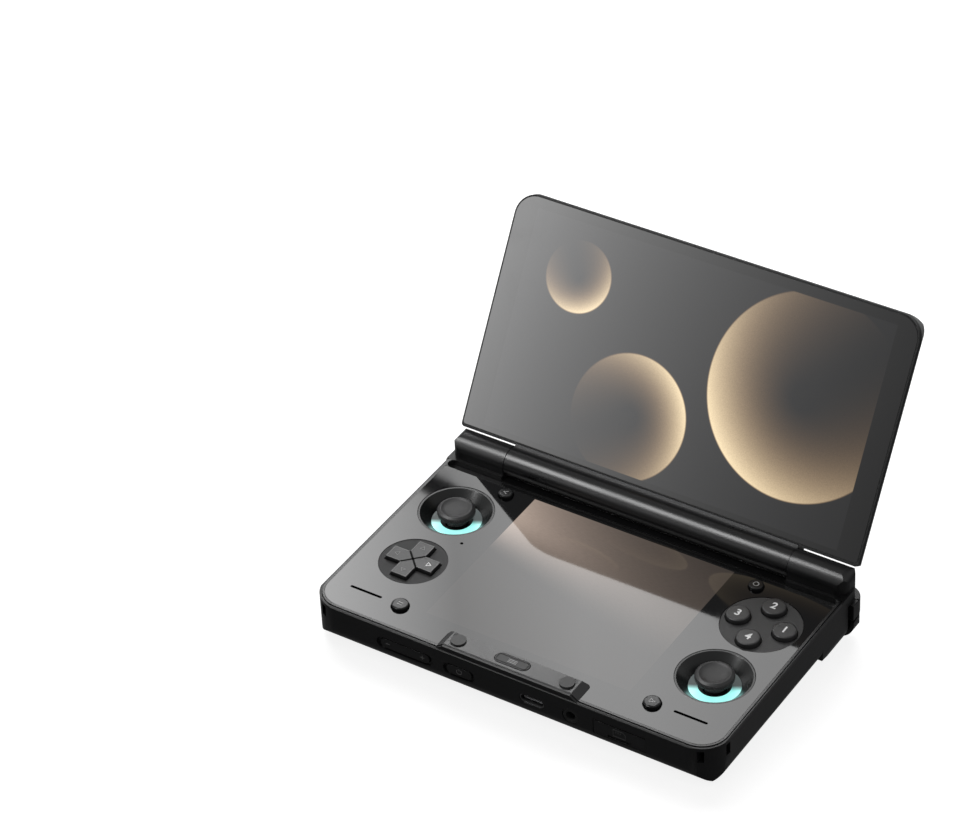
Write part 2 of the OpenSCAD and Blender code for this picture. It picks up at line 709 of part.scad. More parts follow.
module battery() color([0.16, 0.17, 0.2]) {
    box([-battery_w / 2, battery_y0, floor_z], [battery_w / 2, battery_y1, floor_z + battery_t]);
}

module fan_housing() color([0.1, 0.1, 0.1]) {
    difference() {
        box([-fan_box, fan_y - fan_box, floor_z], [fan_box, fan_y + fan_box, floor_z + fan_h]);
        rod([0, fan_y], fan_r + 0.8, floor_z + 0.8, floor_z + fan_h - 0.7);
        box([-fan_r - 0.8, fan_y, floor_z + 0.8], [fan_r + 0.8, fan_y + fan_box + 1, floor_z + fan_h - 0.7]);
        rod([0, fan_y], fan_r - 2.6, floor_z + 1, floor_z + fan_h + 1);
        difference() {
            rod([0, fan_y], fan_r - 2, floor_z - 1, floor_z + 1.2);
            rod([0, fan_y], 4.4, floor_z - 1, floor_z + 1.2);
            for (a = [30:120:270]) rotate_about([0, fan_y], a)
                box([-1, fan_y, floor_z - 1], [1, fan_y + fan_r, floor_z + 1.2]);
        }
    }
    rod([0, fan_y], 1, floor_z + 0.5, floor_z + 4.4);
}

module rotate_about(at, a) {
    translate([at[0], at[1], 0]) rotate([0, 0, a]) translate([-at[0], -at[1], 0]) children();
}

module fan_rotor() color([0.07, 0.07, 0.07]) {
    z0 = floor_z + 1.1;
    difference() {
        union() {
            rod([0, fan_y], 5, z0, z0 + 3.9);
            for (i = [0:fan_blades - 1]) rotate_about([0, fan_y], i * 360 / fan_blades)
                translate([4.6, fan_y, z0 + 0.3]) rotate([0, 0, 24]) cube([fan_r - 5, 0.6, 3.4]);
        }
        rod([0, fan_y], 1 + run, z0 - 1, z0 + 3.45);
    }
}

module heat_sink() color([0.72, 0.45, 0.3]) {
    half = fan_r + 0.8;
    difference() {
        box([-half, sink_y0, floor_z + 0.8], [half, sink_y1, floor_z + fan_h - 0.7]);
        for (i = [0:fin_count - 1]) {
            pitch = 2 * half / fin_count;
            box([-half + pitch * (i + 0.3), sink_y0 - 1, floor_z + 1.4],
                [-half + pitch * (i + 0.9), sink_y1 + 1, floor_z + fan_h - 1.4]);
        }
    }
    // foot on the case floor and the flat pipe to the processor
    box([-half, sink_y1 - 1.5, floor_z], [half, sink_y1, floor_z + 0.8 + eps]);
    box([half - 3, sink_y0 + 0.5, floor_z + fan_h - 0.7 - eps], [33, sink_y0 + 4.5, floor_z + fan_h + 0.5]);
    box([27, 8, board_top + 1.4], [33, sink_y0 + 4.5, floor_z + fan_h + 0.5]);
}

module speakers() color([0.08, 0.08, 0.08]) {
    both() difference() {
        box([slit_x - 6.5, slit_y - 2.6, board_top + 0.6], [slit_x + 6.5, slit_y + 5, plate_z]);
        bar_z([slit_x, slit_y], slit_len - 0.5, 1, plate_z - 1, plate_z + 1);
    }
    // rubber pads that rest on the board
    both() for (x = [-5, 5]) rod([slit_x + x, slit_y + 3.4], 1.2, board_top, board_top + 0.6 + eps);
}

module microphone() color([0.7, 0.65, 0.45]) {
    difference() {
        rod(mic_at, 2, plate_z - 1.4, plate_z);
        rod(mic_at, 0.55, plate_z - 0.8, plate_z + 1);
    }
}

// ---------------------------------------------------------------- buttons

module face_plate() color([0.3, 0.3, 0.31]) {
    difference() {
        rod(face_at, face_well_r - seam, ledge_z, deck_h - 0.15);
        for (a = [0:90:270])
            rod(face_at + face_pitch * [cos(a), sin(a)], face_r + key_gap, ledge_z - 1, deck_h + 1);
    }
}

// cap with a soft top edge, a flange under its plate and a stem
module round_key(at, r, up, flange, flange_top) {
    top = deck_h + up;
    soft = min(0.5, r / 6);
    translate([at[0], at[1], 0]) rotate_extrude()
        polygon([[0, stem_z], [r * 0.55, stem_z], [r * 0.55, flange_top - 0.8], [r + flange, flange_top - 0.8],
            [r + flange, flange_top], [r, flange_top], [r, top - soft], [r - soft * 0.3, top - soft * 0.3],
            [r - soft, top], [0, top]]);
}

module face_button(i) color([0.28, 0.28, 0.29]) {
    intersection() {
        round_key(face_at + face_pitch * [cos(90 * i), sin(90 * i)], face_r, face_up, 0.8, flange_z);
        rod(face_at, face_well_r - ledge - 0.15, 0, lip_z + 1);
    }
}

module membrane_at(at, r) {
    translate([at[0], at[1], board_top]) cylinder(r1 = r, r2 = r * 0.6, h = dome_top - board_top);
}

module face_membrane() color([0.55, 0.55, 0.52]) {
    rod(face_at, face_well_r - 1.5, board_top, board_top + 0.6);
    for (a = [0:90:270]) membrane_at(face_at + face_pitch * [cos(a), sin(a)], 3);
    rod(cross_at, cross_well_r - 1.5, board_top, board_top + 0.6);
    for (a = [0:90:270]) membrane_at(cross_at + 6.6 * [cos(a), sin(a)], 2.2);
    both() membrane_at([front_btn_x, front_btn_y], 2.6);
    both() membrane_at([rear_btn_x, rear_btn_y], 2.4);
}

module cross_view(g) {
    square([2 * cross_arm + 2 * g, cross_w + 2 * g], center = true);
    square([cross_w + 2 * g, 2 * cross_arm + 2 * g], center = true);
}

module cross_plate() color([0.3, 0.3, 0.31]) {
    difference() {
        union() {
            rod(cross_at, cross_well_r - seam, ledge_z, deck_h - 0.15);
            // hangers for the gimbal
            for (s = [-1, 1], t = [-1, 1])
                box([cross_at[0] + s * 4.2 - 0.5, cross_at[1] + t * 4.2 - 0.6, gimbal_z - 1],
                [cross_at[0] + s * 4.2 + 0.5, cross_at[1] + t * 4.2 + 0.6, ledge_z + eps]);
            for (s = [-1, 1]) box([cross_at[0] + s * 4.2 - 0.5, cross_at[1] - 4.2, gimbal_z - 1],
                [cross_at[0] + s * 4.2 + 0.5, cross_at[1] + 4.2, gimbal_z + 1]);
        }
        translate([cross_at[0], cross_at[1], ledge_z - 0.6]) linear_extrude(5) cross_view(key_gap + 0.2);
        rod_x([cross_at[1], gimbal_z], 0.6 + run, cross_at[0] - 5, cross_at[0] + 5);
    }
}

// the cross key rocks on a small gimbal: this ring turns about X, the key about Y
module cross_pivot() color([0.6, 0.6, 0.6]) {
    difference() {
        union() {
            rod(cross_at, 3, gimbal_z - 0.8, gimbal_z + 0.8);
            rod_x([cross_at[1], gimbal_z], 0.6, cross_at[0] - 4.6, cross_at[0] + 4.6);
        }
        rod(cross_at, 2, gimbal_z - 2, gimbal_z + 2);
        rod_y([cross_at[0], gimbal_z], 0.6 + run, cross_at[1] - 5, cross_at[1] + 5);
    }
}

module cross_key() color([0.28, 0.28, 0.29]) {
    top = deck_h + cross_up;
    difference() {
        translate([cross_at[0], cross_at[1], ledge_z - 0.1]) linear_extrude(top - ledge_z + 0.1) cross_view(0);
        // crossed grooves from corner to corner
        for (a = [45, 135]) translate([cross_at[0], cross_at[1], top - 0.35]) rotate([0, 0, a])
            translate([-cross_w / 2 * sqrt(2) - 1, -0.2, 0]) cube([cross_w * sqrt(2) + 2, 0.4, 1]);
    }
    rod(cross_at, 1.5, gimbal_z - 0.5, ledge_z);
    rod_y([cross_at[0], gimbal_z], 0.6, cross_at[1] - 2.6, cross_at[1] + 2.6);
    // plungers over the four domes
    for (a = [0:90:270]) rod(cross_at + 6.6 * [cos(a), sin(a)], 1, stem_z, ledge_z);
}

module small_button(x, y, r) color([0.26, 0.26, 0.27]) round_key([x, y], r, small_up, 0.7, plate_z - 0.1);

module menu_key() color([0.24, 0.24, 0.25]) {
    bar_z([0, fy + rim_inset + 3.5], menu_len, menu_w, plate_z - 0.1, lip_z + 0.1);
    bar_z([0, fy + rim_inset + 3.5], menu_len + 2, menu_w, menu_z0, plate_z - 0.1 + eps);
}

module lip_bumpers() color([0.22, 0.22, 0.22]) {
    for (s = [-1, 1]) rod([s * 20, fy + rim_inset + 3.5], bumper_r, lip_z - 0.8, deck_h + shut_gap - 0.15);
}

// ---------------------------------------------------------------- sticks

module stick_well(at) {
    translate([at[0], at[1], 0]) rotate_extrude()
        polygon([[stick_well_r - seam, deck_h - 0.15], [stick_well_r - seam, ledge_z],
            [stick_well_r - ledge - seam, ledge_z], [stick_well_r - ledge - seam, plate_z],
            [ring_r + 0.9, ring_z - 0.7], [ring_r + 0.05, ring_z - 0.7], [ring_r + 0.05, ring_z],
            [stick_well_r - seam - 0.7, deck_h - 0.15]]);
}

module stick_wells() color([0.06, 0.06, 0.065]) {
    stick_well(left_stick);
    stick_well(right_stick);
}

module light_ring(at) {
    difference() {
        rod(at, ring_r, ring_z - 0.7, ring_z);
        rod(at, 5.4, ring_z - 1, ring_z + 1);
    }
}

module light_rings() color([0.7, 1, 0.98]) {
    light_ring(left_stick);
    light_ring(right_stick);
}

module stick_module(at) {
    difference() {
        box([at[0] - 6.6, at[1] - 6.6, board_top], [at[0] + 6.6, at[1] + 6.6, module_top]);
        box([at[0] - 5.5, at[1] - 5.5, board_top + 0.6], [at[0] + 5.5, at[1] + 5.5, module_top - 0.5]);
        rod(at, 4, board_top + 1, module_top + 1);
    }
    // lugs that carry the light ring
    for (a = [45:90:315]) rod(at + 8.6 * [cos(a), sin(a)], 0.7, board_top, ring_z - 0.7);
}

module stick_modules() color([0.35, 0.35, 0.36]) {
    stick_module(left_stick);
    stick_module(right_stick);
}

// the carriage drops when the stick is clicked
module stick_carriage(at) color([0.2, 0.2, 0.2]) {
    difference() {
        box([at[0] - 5.2, at[1] - 5.2, tilt_z - 0.9], [at[0] + 5.2, at[1] + 5.2, module_top - 0.55]);
        rod(at, 3.8, tilt_z - 3, module_top + 1);
        rod_x([at[1], tilt_z], 0.6 + run, at[0] - 5, at[0] + 5);
    }
}

module stick_yoke(at) color([0.6, 0.6, 0.6]) {
    difference() {
        union() {
            rod(at, 3.2, tilt_z - 0.75, tilt_z + 0.75);
            rod_x([at[1], tilt_z], 0.6, at[0] - 4.8, at[0] + 4.8);
        }
        rod(at, 2.2, tilt_z - 2, tilt_z + 2);
        rod_y([at[0], tilt_z], 0.5 + run, at[1] - 5, at[1] + 5);
    }
}

module stick_post(at) color([0.5, 0.5, 0.5]) {
    rod(at, 1.4, tilt_z - 0.7, deck_h + cap_up - 1);
    rod_y([at[0], tilt_z], 0.5, at[1] - 2.9, at[1] + 2.9);
}

module stick_cap(at) color([0.24, 0.24, 0.25]) {
    top = deck_h + cap_up;
    translate([at[0], at[1], 0]) rotate_extrude()
        polygon([[1.4, top - 3.2], [4.2, top - 3.2], [cap_r - 1.1, top - 2.9], [cap_r - 0.3, top - 2.2],
            [cap_r, top - 1.3], [cap_r, top - 0.55], [cap_r - 0.8, top], [cap_r - 1.5, top],
            [cap_r - 2, top - 0.35], [0, top - 0.5], [0, top - 1], [1.4, top - 1]]);
}

// ---------------------------------------------------------------- keys and ports on the front wall

module volume_key() color([0.1, 0.1, 0.1]) {
    difference() {
        union() {
            bar_y([volume_x, port_z], volume_len, key_h, fy + 0.25, switch_y - 1.2);
            box([volume_x - volume_len / 2 - 0.5, switch_y - 1.25, port_z - key_h / 2 - 0.5],
                [volume_x + volume_len / 2 + 0.5, switch_y - 0.45, port_z + key_h / 2 + 0.5]);
        }
        rod([volume_x, switch_y - 0.45], 0.5 + run, port_z - 4, port_z + 4);
    }
}

module power_key() color([0.1, 0.1, 0.1]) {
    bar_y([power_x, port_z], power_len, key_h, fy + 0.25, fy + wall + 0.2);
    box([power_x - power_len / 2 - 0.5, fy + wall + 0.1, port_z - key_h / 2 - 0.5],
        [power_x + power_len / 2 + 0.5, fy + wall + 0.8, port_z + key_h / 2 + 0.5]);
}

module data_socket() color([0.6, 0.6, 0.62]) {
    difference() {
        bar_y([usb_x, port_z], usb_w, usb_h, fy + 0.3, fy + 7.4);
        bar_y([usb_x, port_z], usb_w - 0.6, usb_h - 0.6, fy, fy + 6.6);
    }
    bar_y([usb_x, port_z], 6.6, 0.7, fy + 1, fy + 6.7);
    // foot that stands on the port board
    box([usb_x - 3, fy + 4, board_top], [usb_x + 3, fy + 7.4, port_z - usb_h / 2 + 0.1]);
}

module headphone_socket() color([0.13, 0.13, 0.13]) {
    difference() {
        union() {
            rod_y([jack_x, port_z], 2.9, fy + 0.2, fy + wall + 0.5);
            box([jack_x - 3, fy + wall + 0.2, board_top], [jack_x + 3, fy + 13, port_z + 2.8]);
        }
        rod_y([jack_x, port_z], jack_r, fy - 1, fy + 12);
    }
}

module card_reader() color([0.6, 0.6, 0.62]) {
    x = flap_x - 3.7;
    z0 = port_z - 1.3;
    difference() {
        box([x - 6.1, fy + wall + 1.2, z0 - 0.5], [x + 6.1, fy + 15.4, z0 + 1.7]);
        box([x - 5.6, fy + wall, z0], [x + 5.6, fy + 14.8, z0 + 1.1]);
    }
    for (s = [-1, 1]) rod([x + s * 4.8, fy + 10.4], 0.8, board_top, z0 - 0.5 + eps);
}

// the flap turns on two trunnions near its upper edge
module card_flap() color([0.1, 0.1, 0.1]) {
    difference() {
        union() {
            box([flap_x - flap_w / 2, fy + 0.15, port_z - flap_h / 2],
                [flap_x + flap_w / 2, flap_pin[0] + 0.35, port_z + flap_h / 2 - 0.4]);
            rod_x(flap_pin, 0.5, flap_x - flap_w / 2 - 0.8, flap_x + flap_w / 2 + 0.8);
        }
        // nail notch
        box([flap_x - 4.2, fy - 1, port_z - flap_h / 2 + 0.3],
            [flap_x + 4.2, fy + 0.7, port_z - flap_h / 2 + 1.2]);
    }
}

// ---------------------------------------------------------------- shoulder buttons and triggers

module shoulder() {
    difference() {
        union() {
            translate([0, 0, sh_z0]) linear_extrude(shoulder_h) shoulder_view();
            // hinge boss
            rod(sh_pin, 1.7, sh_z0 + 1, sh_z1 - 1);
            box([sh_pin[0] - 1.7, sh_pin[1], sh_z0 + 1], [sh_pin[0] + 1.7, ry - sh_skin + 0.2, sh_z1 - 1]);
        }
        rod(sh_pin, pin_r + run, sh_z0 - 1, sh_z1 + 1);
    }
}

module left_shoulder() color([0.13, 0.13, 0.14]) mirror([1, 0, 0]) shoulder();
module right_shoulder() color([0.13, 0.13, 0.14]) shoulder();

// side view of the trigger, with a slanting top in front of its pin; open leaves front and top free
module trigger_side_view(g, open) {
    r = 4.6 - g;
    y1 = ry + shoulder_proud - 0.1 - g;
    y0 = trig_y0 - open;
    z0 = trig_z0 + g;
    // rounded rear lower edge: only that quarter of the circle
    intersection() {
        translate([y1 - r, z0 + r]) circle(r = r);
        translate([y1 - r, z0]) square([r, r]);
    }
    polygon([[y0, z0], [y1 - r, z0], [y1, z0 + r], [y1, trig_z1 + open], [ry - 3, trig_z1 + open],
        [y0, trig_z1 + open - 0.9]]);
    if (open > 0) translate([y0, z0]) square([y1 - y0 - r, trig_z1 + open - z0]);
}

module trigger_end_view(g, open) {
    r = 7 - g;
    x0 = sh_x0 + g;
    x1 = hx + sh_side - 0.1 - g;
    z0 = trig_z0 + g;
    translate([x0 + r, z0 + r]) circle(r = r);
    translate([x1 - r, z0 + r]) circle(r = r);
    translate([x0 + r, z0]) square([x1 - x0 - 2 * r, r + 1]);
    translate([x0, z0 + r]) square([x1 - x0, trig_z1 + open - z0 - r]);
}

module trigger_solid(g, open) {
    intersection() {
        along_x(sh_x0 - 1, hx + 2) trigger_side_view(g, open);
        along_y(trig_y0 - open, ry + 4) trigger_end_view(g, open);
        slab(hx + sh_side - 0.1 - g, fy, ry + shoulder_proud - 0.1 - g, front_r, rear_r + 1 - g,
            -grip_drop, trig_z1 + open);
        box([0, trig_y0 - open, -20], [hx + 2, ry + 4, 20]);
    }
}

module trigger() {
    difference() {
        union() {
            difference() {
                trigger_solid(0, 0);
                trigger_solid(trig_skin, 2);
            }
            intersection() {
                trigger_solid(0.3, 0);
                for (x = trig_ears) along_x(x, x + trig_ear_w) {
                    translate(trig_pin) circle(r = 1.6);
                    translate([trig_pin[0], trig_pin[1] - 1.6]) square([3, 3.2]);
                }
            }
        }
        rod_x(trig_pin, pin_r + run, sh_x0 - 1, hx + 2);
    }
}

module left_trigger() color([0.13, 0.13, 0.14]) mirror([1, 0, 0]) trigger();
module right_trigger() color([0.13, 0.13, 0.14]) trigger();

// upright pins of the shoulder buttons, fixed under the towers, and the triggers' long pins
module button_pins() color([0.75, 0.75, 0.76]) both() {
    rod(sh_pin, pin_r, sh_z0 + 1.1, axis_z - 5.6);
    rod_x(trig_pin, pin_r, trig_ears[0] - 0.4, trig_ears[1] + 2.2);
}

// ---------------------------------------------------------------- hinge

module hinge_cartridges() color([0.45, 0.45, 0.47]) {
    both() difference() {
        rod_x([axis_y, axis_z], 3.6, tower_x + 0.6, hx - 3);
        rod_x([axis_y, axis_z], shaft_r + run, tower_x - 1, hx - 5);
    }
}

// the shafts are fixed in the lid's barrel and turn in the cartridges
module hinge_shafts() color([0.75, 0.75, 0.77]) {
    both() rod_x([axis_y, axis_z], shaft_r, barrel_x - 9, hx - 5.4);
}

// ---------------------------------------------------------------- lid, drawn shut

// side view of the lid's outer shape, with the neck that wraps the barrel
module lid_side_view(g) {
    r = lid_back_r - g;
    translate([lid_y0 + g + r, lid_back - g - r]) circle(r = r);
    translate([lid_y0 + g, lid_face - 1]) square([lid_len - 4 - g, lid_t + 1 - g - r]);
    translate([lid_y0 + g + r, lid_face - 1]) square([lid_len - 4 - g - r, lid_t + 1 - g]);
    translate([lid_y1 - 5, lid_face - 1]) square([5 - g, lid_t + 1 - g]);
}

module lid_end_view(g) {
    r = lid_back_r - g;
    for (s = [-1, 1]) translate([s * (hx - g - r), lid_back - g - r]) circle(r = r);
    translate([-(hx - g), lid_face - 1]) square([2 * (hx - g), lid_t + 1 - g - r]);
    translate([-(hx - g - r), lid_face - 1]) square([2 * (hx - g - r), lid_t + 1 - g]);
}

module lid_solid(g, z0) {
    intersection() {
        slab(hx - g, lid_y0 + g, lid_y1 - g, lid_corner_r - g, max(1.5 - g, 0.3), z0, lid_back);
        along_y(lid_y0, lid_y1) lid_end_view(g);
        along_x(-hx, hx) lid_side_view(g);
    }
}

// the neck joins the lid to its barrel and keeps inside the sweep of the rear wall
module neck_view(g) {
    polygon([[lid_y1 - 2.4, lid_face + 0.1 + g], [axis_y - barrel_r + 0.6, lid_face + 0.1 + g], [axis_y, axis_z],
        [axis_y + 0.2, axis_z + barrel_r - g], [axis_y - 2, axis_z + barrel_r + 0.45 - g],
        [lid_y1, lid_back - 0.12 - g], [lid_y1 - 2.4, lid_back - g]]);
    translate([axis_y, axis_z]) circle(r = barrel_r - g);
}

// plate along the back of the neck: the hinge cover, and the room it lies in
module cover_view() {
    difference() {
        neck_view(0);
        neck_view(0.9);
        translate([0, -20]) square([80, 20 + axis_z - 1]);
        translate([lid_y1 - 8, 0]) square([7.2, 60]);
        translate([lid_y1 - 8, 0]) square([20, lid_face + 3]);
        translate([axis_y - barrel_r - 3, 0]) square([5, axis_z + 1]);
    }
}

module lid_shell() color([0.42, 0.42, 0.43]) opened() {
    difference() {
        union() {
            difference() {
                lid_solid(0, lid_frame_z);
                intersection() {
                    lid_solid(lid_wall, lid_face);
                    box([-hx, lid_y0, lid_face], [hx, lid_y1 - 2.4, lid_back]);
                }
            }
            along_x(-barrel_x, barrel_x) neck_view(0);
        }
        // hollow barrel, with a thicker socket for each shaft
        rod_x([axis_y, axis_z], barrel_r - 1.4, -(barrel_x - 10), barrel_x - 10);
        both() rod_x([axis_y, axis_z], shaft_r, barrel_x - 12, barrel_x + 1);
        // the frame and the glass fill the front of the lid
        box([-hx - 1, lid_y0 - 1, lid_face - 2], [hx + 1, lid_y1 - 0.6, lid_frame_z]);
        box([-hx - 1, lid_y1 - 0.7, lid_face - 2], [-barrel_x + 0.01, lid_y1 + 1, lid_frame_z]);
        box([barrel_x - 0.01, lid_y1 - 0.7, lid_face - 2], [hx + 1, lid_y1 + 1, lid_frame_z]);
        // seat of the hinge cover
        along_x(-cover_x - seam, cover_x + seam) cover_view();
    }
}

module lid_frame() color([0.08, 0.08, 0.085]) opened() {
    difference() {
        slab(hx - 0.15, lid_y0 + 0.15, lid_y1 - 0.15, lid_corner_r - 0.15, 1.2, lid_face + 0.15, lid_frame_z);
        box([-barrel_x - 0.15, lid_y1 - 0.75, lid_face - 1], [barrel_x + 0.15, lid_y1, lid_frame_z + 1]);
        slab(hx - lid_glass_in, lid_y0 + lid_glass_in, lid_y1 - 0.75 - 0.5, lid_corner_r - lid_glass_in, 1,
            lid_face - 1, lid_face + glass_t);
        box([-top_lit_w / 2 - panel_border - seam, lid_y1 - 3.3 - top_lit_h - panel_border - seam, lid_face - 1],
            [top_lit_w / 2 + panel_border + seam, lid_y1 - 3.3 + panel_border + seam, lid_back]);
    }
}

module lid_glass() color([0.09, 0.09, 0.09]) opened() {
    slab(hx - lid_glass_in - 0.05, lid_y0 + lid_glass_in + 0.05, lid_y1 - 1.3, lid_corner_r - lid_glass_in - 0.05,
        0.95, lid_face, lid_face + glass_t);
}

module upper_display() color([0.3, 0.3, 0.3]) opened() {
    box([-top_lit_w / 2 - panel_border, lid_y1 - 3.3 - top_lit_h - panel_border, lid_face + glass_t],
        [top_lit_w / 2 + panel_border, lid_y1 - 3.3 + panel_border, lid_face + glass_t + panel_t]);
}

module hinge_cover() color([0.42, 0.42, 0.43]) opened() {
    along_x(-cover_x, cover_x) cover_view();
}

// rolled flat cable inside the barrel
module hinge_flex() color([0.75, 0.45, 0.15]) opened() {
    difference() {
        rod_x([axis_y, axis_z], barrel_r - 1.4, -14, 14);
        rod_x([axis_y, axis_z], barrel_r - 1.7, -15, 15);
        box([-15, axis_y - 10, axis_z - 10], [15, axis_y, axis_z]);
    }
}

// ---------------------------------------------------------------- feet and screws

module feet() color([0.05, 0.05, 0.05]) {
    for (s = [-1, 1]) bar_z([s * 44, fy + 12.5], 33.8, 4.8, -1.4, 0.6);
    both() bar_z([hx - grip_w / 2, trig_wall_y - 2.2], 11.8, 2.8, -grip_drop - 0.3, 0.5 - grip_drop);
}

module case_screws() color([0.3, 0.3, 0.32]) {
    for (at = screw_places) both() {
        rod(at, screw_r, 0.4, plate_z + 0.6);
        difference() {
            rod(at, screw_r + 0.8, 0.3, 1);
            translate([at[0], at[1], 0]) cylinder(r = 0.6, h = 0.8, $fn = 6);
        }
    }
}

base_shell();
top_frame();
deck_glass();
lower_display();
main_board();
control_boards();
port_board();
battery();
fan_housing();
fan_rotor();
heat_sink();
speakers();
microphone();
face_plate();
face_button(0);  // face_button_1
face_button(1);  // face_button_2
face_button(2);  // face_button_3
face_button(3);  // face_button_4
face_membrane();
cross_plate();
cross_pivot();
cross_key();
stick_wells();
light_rings();
stick_modules();
stick_carriage(left_stick);  // left_stick_carriage
stick_carriage(right_stick);  // right_stick_carriage
stick_yoke(left_stick);  // left_stick_yoke
stick_yoke(right_stick);  // right_stick_yoke
stick_post(left_stick);  // left_stick_post
stick_post(right_stick);  // right_stick_post
stick_cap(left_stick);  // left_stick_cap
stick_cap(right_stick);  // right_stick_cap
small_button(-front_btn_x, front_btn_y, front_btn_r);  // select_button
small_button(front_btn_x, front_btn_y, front_btn_r);  // start_button
small_button(-rear_btn_x, rear_btn_y, rear_btn_r);  // back_button
small_button(rear_btn_x, rear_btn_y, rear_btn_r);  // home_button
menu_key();
lip_bumpers();
volume_key();
power_key();
data_socket();
headphone_socket();
card_reader();
card_flap();
left_shoulder();
right_shoulder();
left_trigger();
right_trigger();
button_pins();
hinge_cartridges();
hinge_shafts();
lid_shell();
lid_frame();
lid_glass();
upper_display();
hinge_cover();
hinge_flex();
feet();
case_screws();
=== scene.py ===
import json
import math
import bmesh
import bpy
from mathutils import Matrix, Vector

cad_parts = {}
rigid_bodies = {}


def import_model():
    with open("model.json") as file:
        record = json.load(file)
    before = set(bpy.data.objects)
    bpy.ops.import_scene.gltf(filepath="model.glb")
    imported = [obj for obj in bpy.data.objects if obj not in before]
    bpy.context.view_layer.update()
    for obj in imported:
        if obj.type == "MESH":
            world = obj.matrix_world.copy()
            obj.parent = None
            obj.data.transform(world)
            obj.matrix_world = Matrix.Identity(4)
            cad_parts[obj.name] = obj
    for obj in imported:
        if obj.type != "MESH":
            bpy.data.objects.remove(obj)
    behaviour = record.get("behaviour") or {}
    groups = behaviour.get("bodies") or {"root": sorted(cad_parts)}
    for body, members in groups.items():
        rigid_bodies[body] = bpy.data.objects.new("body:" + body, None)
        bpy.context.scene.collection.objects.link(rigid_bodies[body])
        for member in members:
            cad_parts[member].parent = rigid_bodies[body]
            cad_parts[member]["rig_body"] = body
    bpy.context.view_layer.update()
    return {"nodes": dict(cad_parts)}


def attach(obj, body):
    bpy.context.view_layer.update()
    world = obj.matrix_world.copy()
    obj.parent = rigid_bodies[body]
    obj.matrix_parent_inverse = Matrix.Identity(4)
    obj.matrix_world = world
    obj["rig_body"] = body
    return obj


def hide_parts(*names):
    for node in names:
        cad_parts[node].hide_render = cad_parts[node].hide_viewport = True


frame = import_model()
nodes = frame["nodes"]
scene = bpy.context.scene
mm = 0.001
print("frame:", len(nodes), "nodes")


# camera

view = {
    "place": (508.48, -796.52, 819.11),  # in mm
    "toCamera": (0.4467, -0.6532, 0.6113),
    "roll": -3.07,
    "lens": 145.38,
    "sensor": 36,
    "clipEnd": 30,
}


def placeCamera():
    back = Vector(view["toCamera"]).normalized()
    right = (-back).cross(Vector((0, 0, 1))).normalized()
    up = right.cross(-back)
    turn = math.radians(view["roll"])
    across = right * math.cos(turn) + up * math.sin(turn)
    upward = up * math.cos(turn) - right * math.sin(turn)
    camera = bpy.data.objects.new("camera", bpy.data.cameras.new("camera"))
    scene.collection.objects.link(camera)
    camera.data.lens = view["lens"]
    camera.data.sensor_width = view["sensor"]
    camera.data.clip_end = view["clipEnd"]
    turned = Matrix((across, upward, back)).transposed().to_4x4()
    camera.matrix_world = Matrix.Translation(Vector(view["place"]) * mm) @ turned
    scene.camera = camera


placeCamera()


# node helpers

def link(tree, source, target):
    tree.links.new(source, target)


def addNode(tree, kind, operation=None, **values):
    node = tree.nodes.new(kind)
    if operation:
        node.operation = operation
    for key, value in values.items():
        setattr(node, key, value)
    return node


def feed(tree, socket, value):
    # a value is another node's output or a plain constant
    if isinstance(value, bpy.types.NodeSocket):
        tree.links.new(value, socket)
    else:
        socket.default_value = value


def calc(tree, operation, *values, clamp=False):
    node = addNode(tree, "ShaderNodeMath", operation, use_clamp=clamp)
    for socket, value in zip(node.inputs, values):
        feed(tree, socket, value)
    return node.outputs[0]


def vectorCalc(tree, operation, *values):
    node = addNode(tree, "ShaderNodeVectorMath", operation)
    for socket, value in zip(node.inputs, values):
        feed(tree, socket, value)
    return node.outputs["Value" if operation in ("DOT_PRODUCT", "LENGTH") else "Vector"]


def rangeOf(tree, value, low, high, toLow=0.0, toHigh=1.0, kind="SMOOTHSTEP"):
    node = addNode(tree, "ShaderNodeMapRange", interpolation_type=kind)
    for socket, part in zip(node.inputs, (value, low, high, toLow, toHigh)):
        feed(tree, socket, part)
    return node.outputs[0]


def mixColour(tree, factor, first, second):
    node = addNode(tree, "ShaderNodeMix", data_type="RGBA")
    feed(tree, node.inputs["Factor"], factor)
    feed(tree, node.inputs[6], first)
    feed(tree, node.inputs[7], second)
    return node.outputs[2]


def splitVector(tree, vector):
    node = addNode(tree, "ShaderNodeSeparateXYZ")
    link(tree, vector, node.inputs[0])
    return node.outputs


def scaleVector(tree, vector, factor):
    node = addNode(tree, "ShaderNodeVectorMath", "SCALE")
    feed(tree, node.inputs[0], vector)
    feed(tree, node.inputs["Scale"], factor)
    return node.outputs[0]


def noise(tree, place, scale, detail=2.0, distortion=0.0):
    node = addNode(tree, "ShaderNodeTexNoise")
    link(tree, place, node.inputs["Vector"])
    for label, value in (("Scale", scale), ("Detail", detail), ("Distortion", distortion)):
        feed(tree, node.inputs[label], value)
    return node.outputs[0]


def startGroup(name, inputs, outputs):
    tree = bpy.data.node_groups.new(name, "ShaderNodeTree")
    for label, kind, value in inputs:
        socket = tree.interface.new_socket(label, in_out="INPUT", socket_type=kind)
        if value is not None:
            socket.default_value = value
    for label, kind in outputs:
        tree.interface.new_socket(label, in_out="OUTPUT", socket_type=kind)
    return tree, tree.nodes.new("NodeGroupInput").outputs, tree.nodes.new("NodeGroupOutput").inputs


def useGroup(tree, group, **values):
    node = addNode(tree, "ShaderNodeGroup", node_tree=group)
    for label, value in values.items():
        feed(tree, node.inputs[label], value)
    return node.outputs


floatIn, vectorIn, colourIn = "NodeSocketFloat", "NodeSocketVector", "NodeSocketColor"


# shared effects

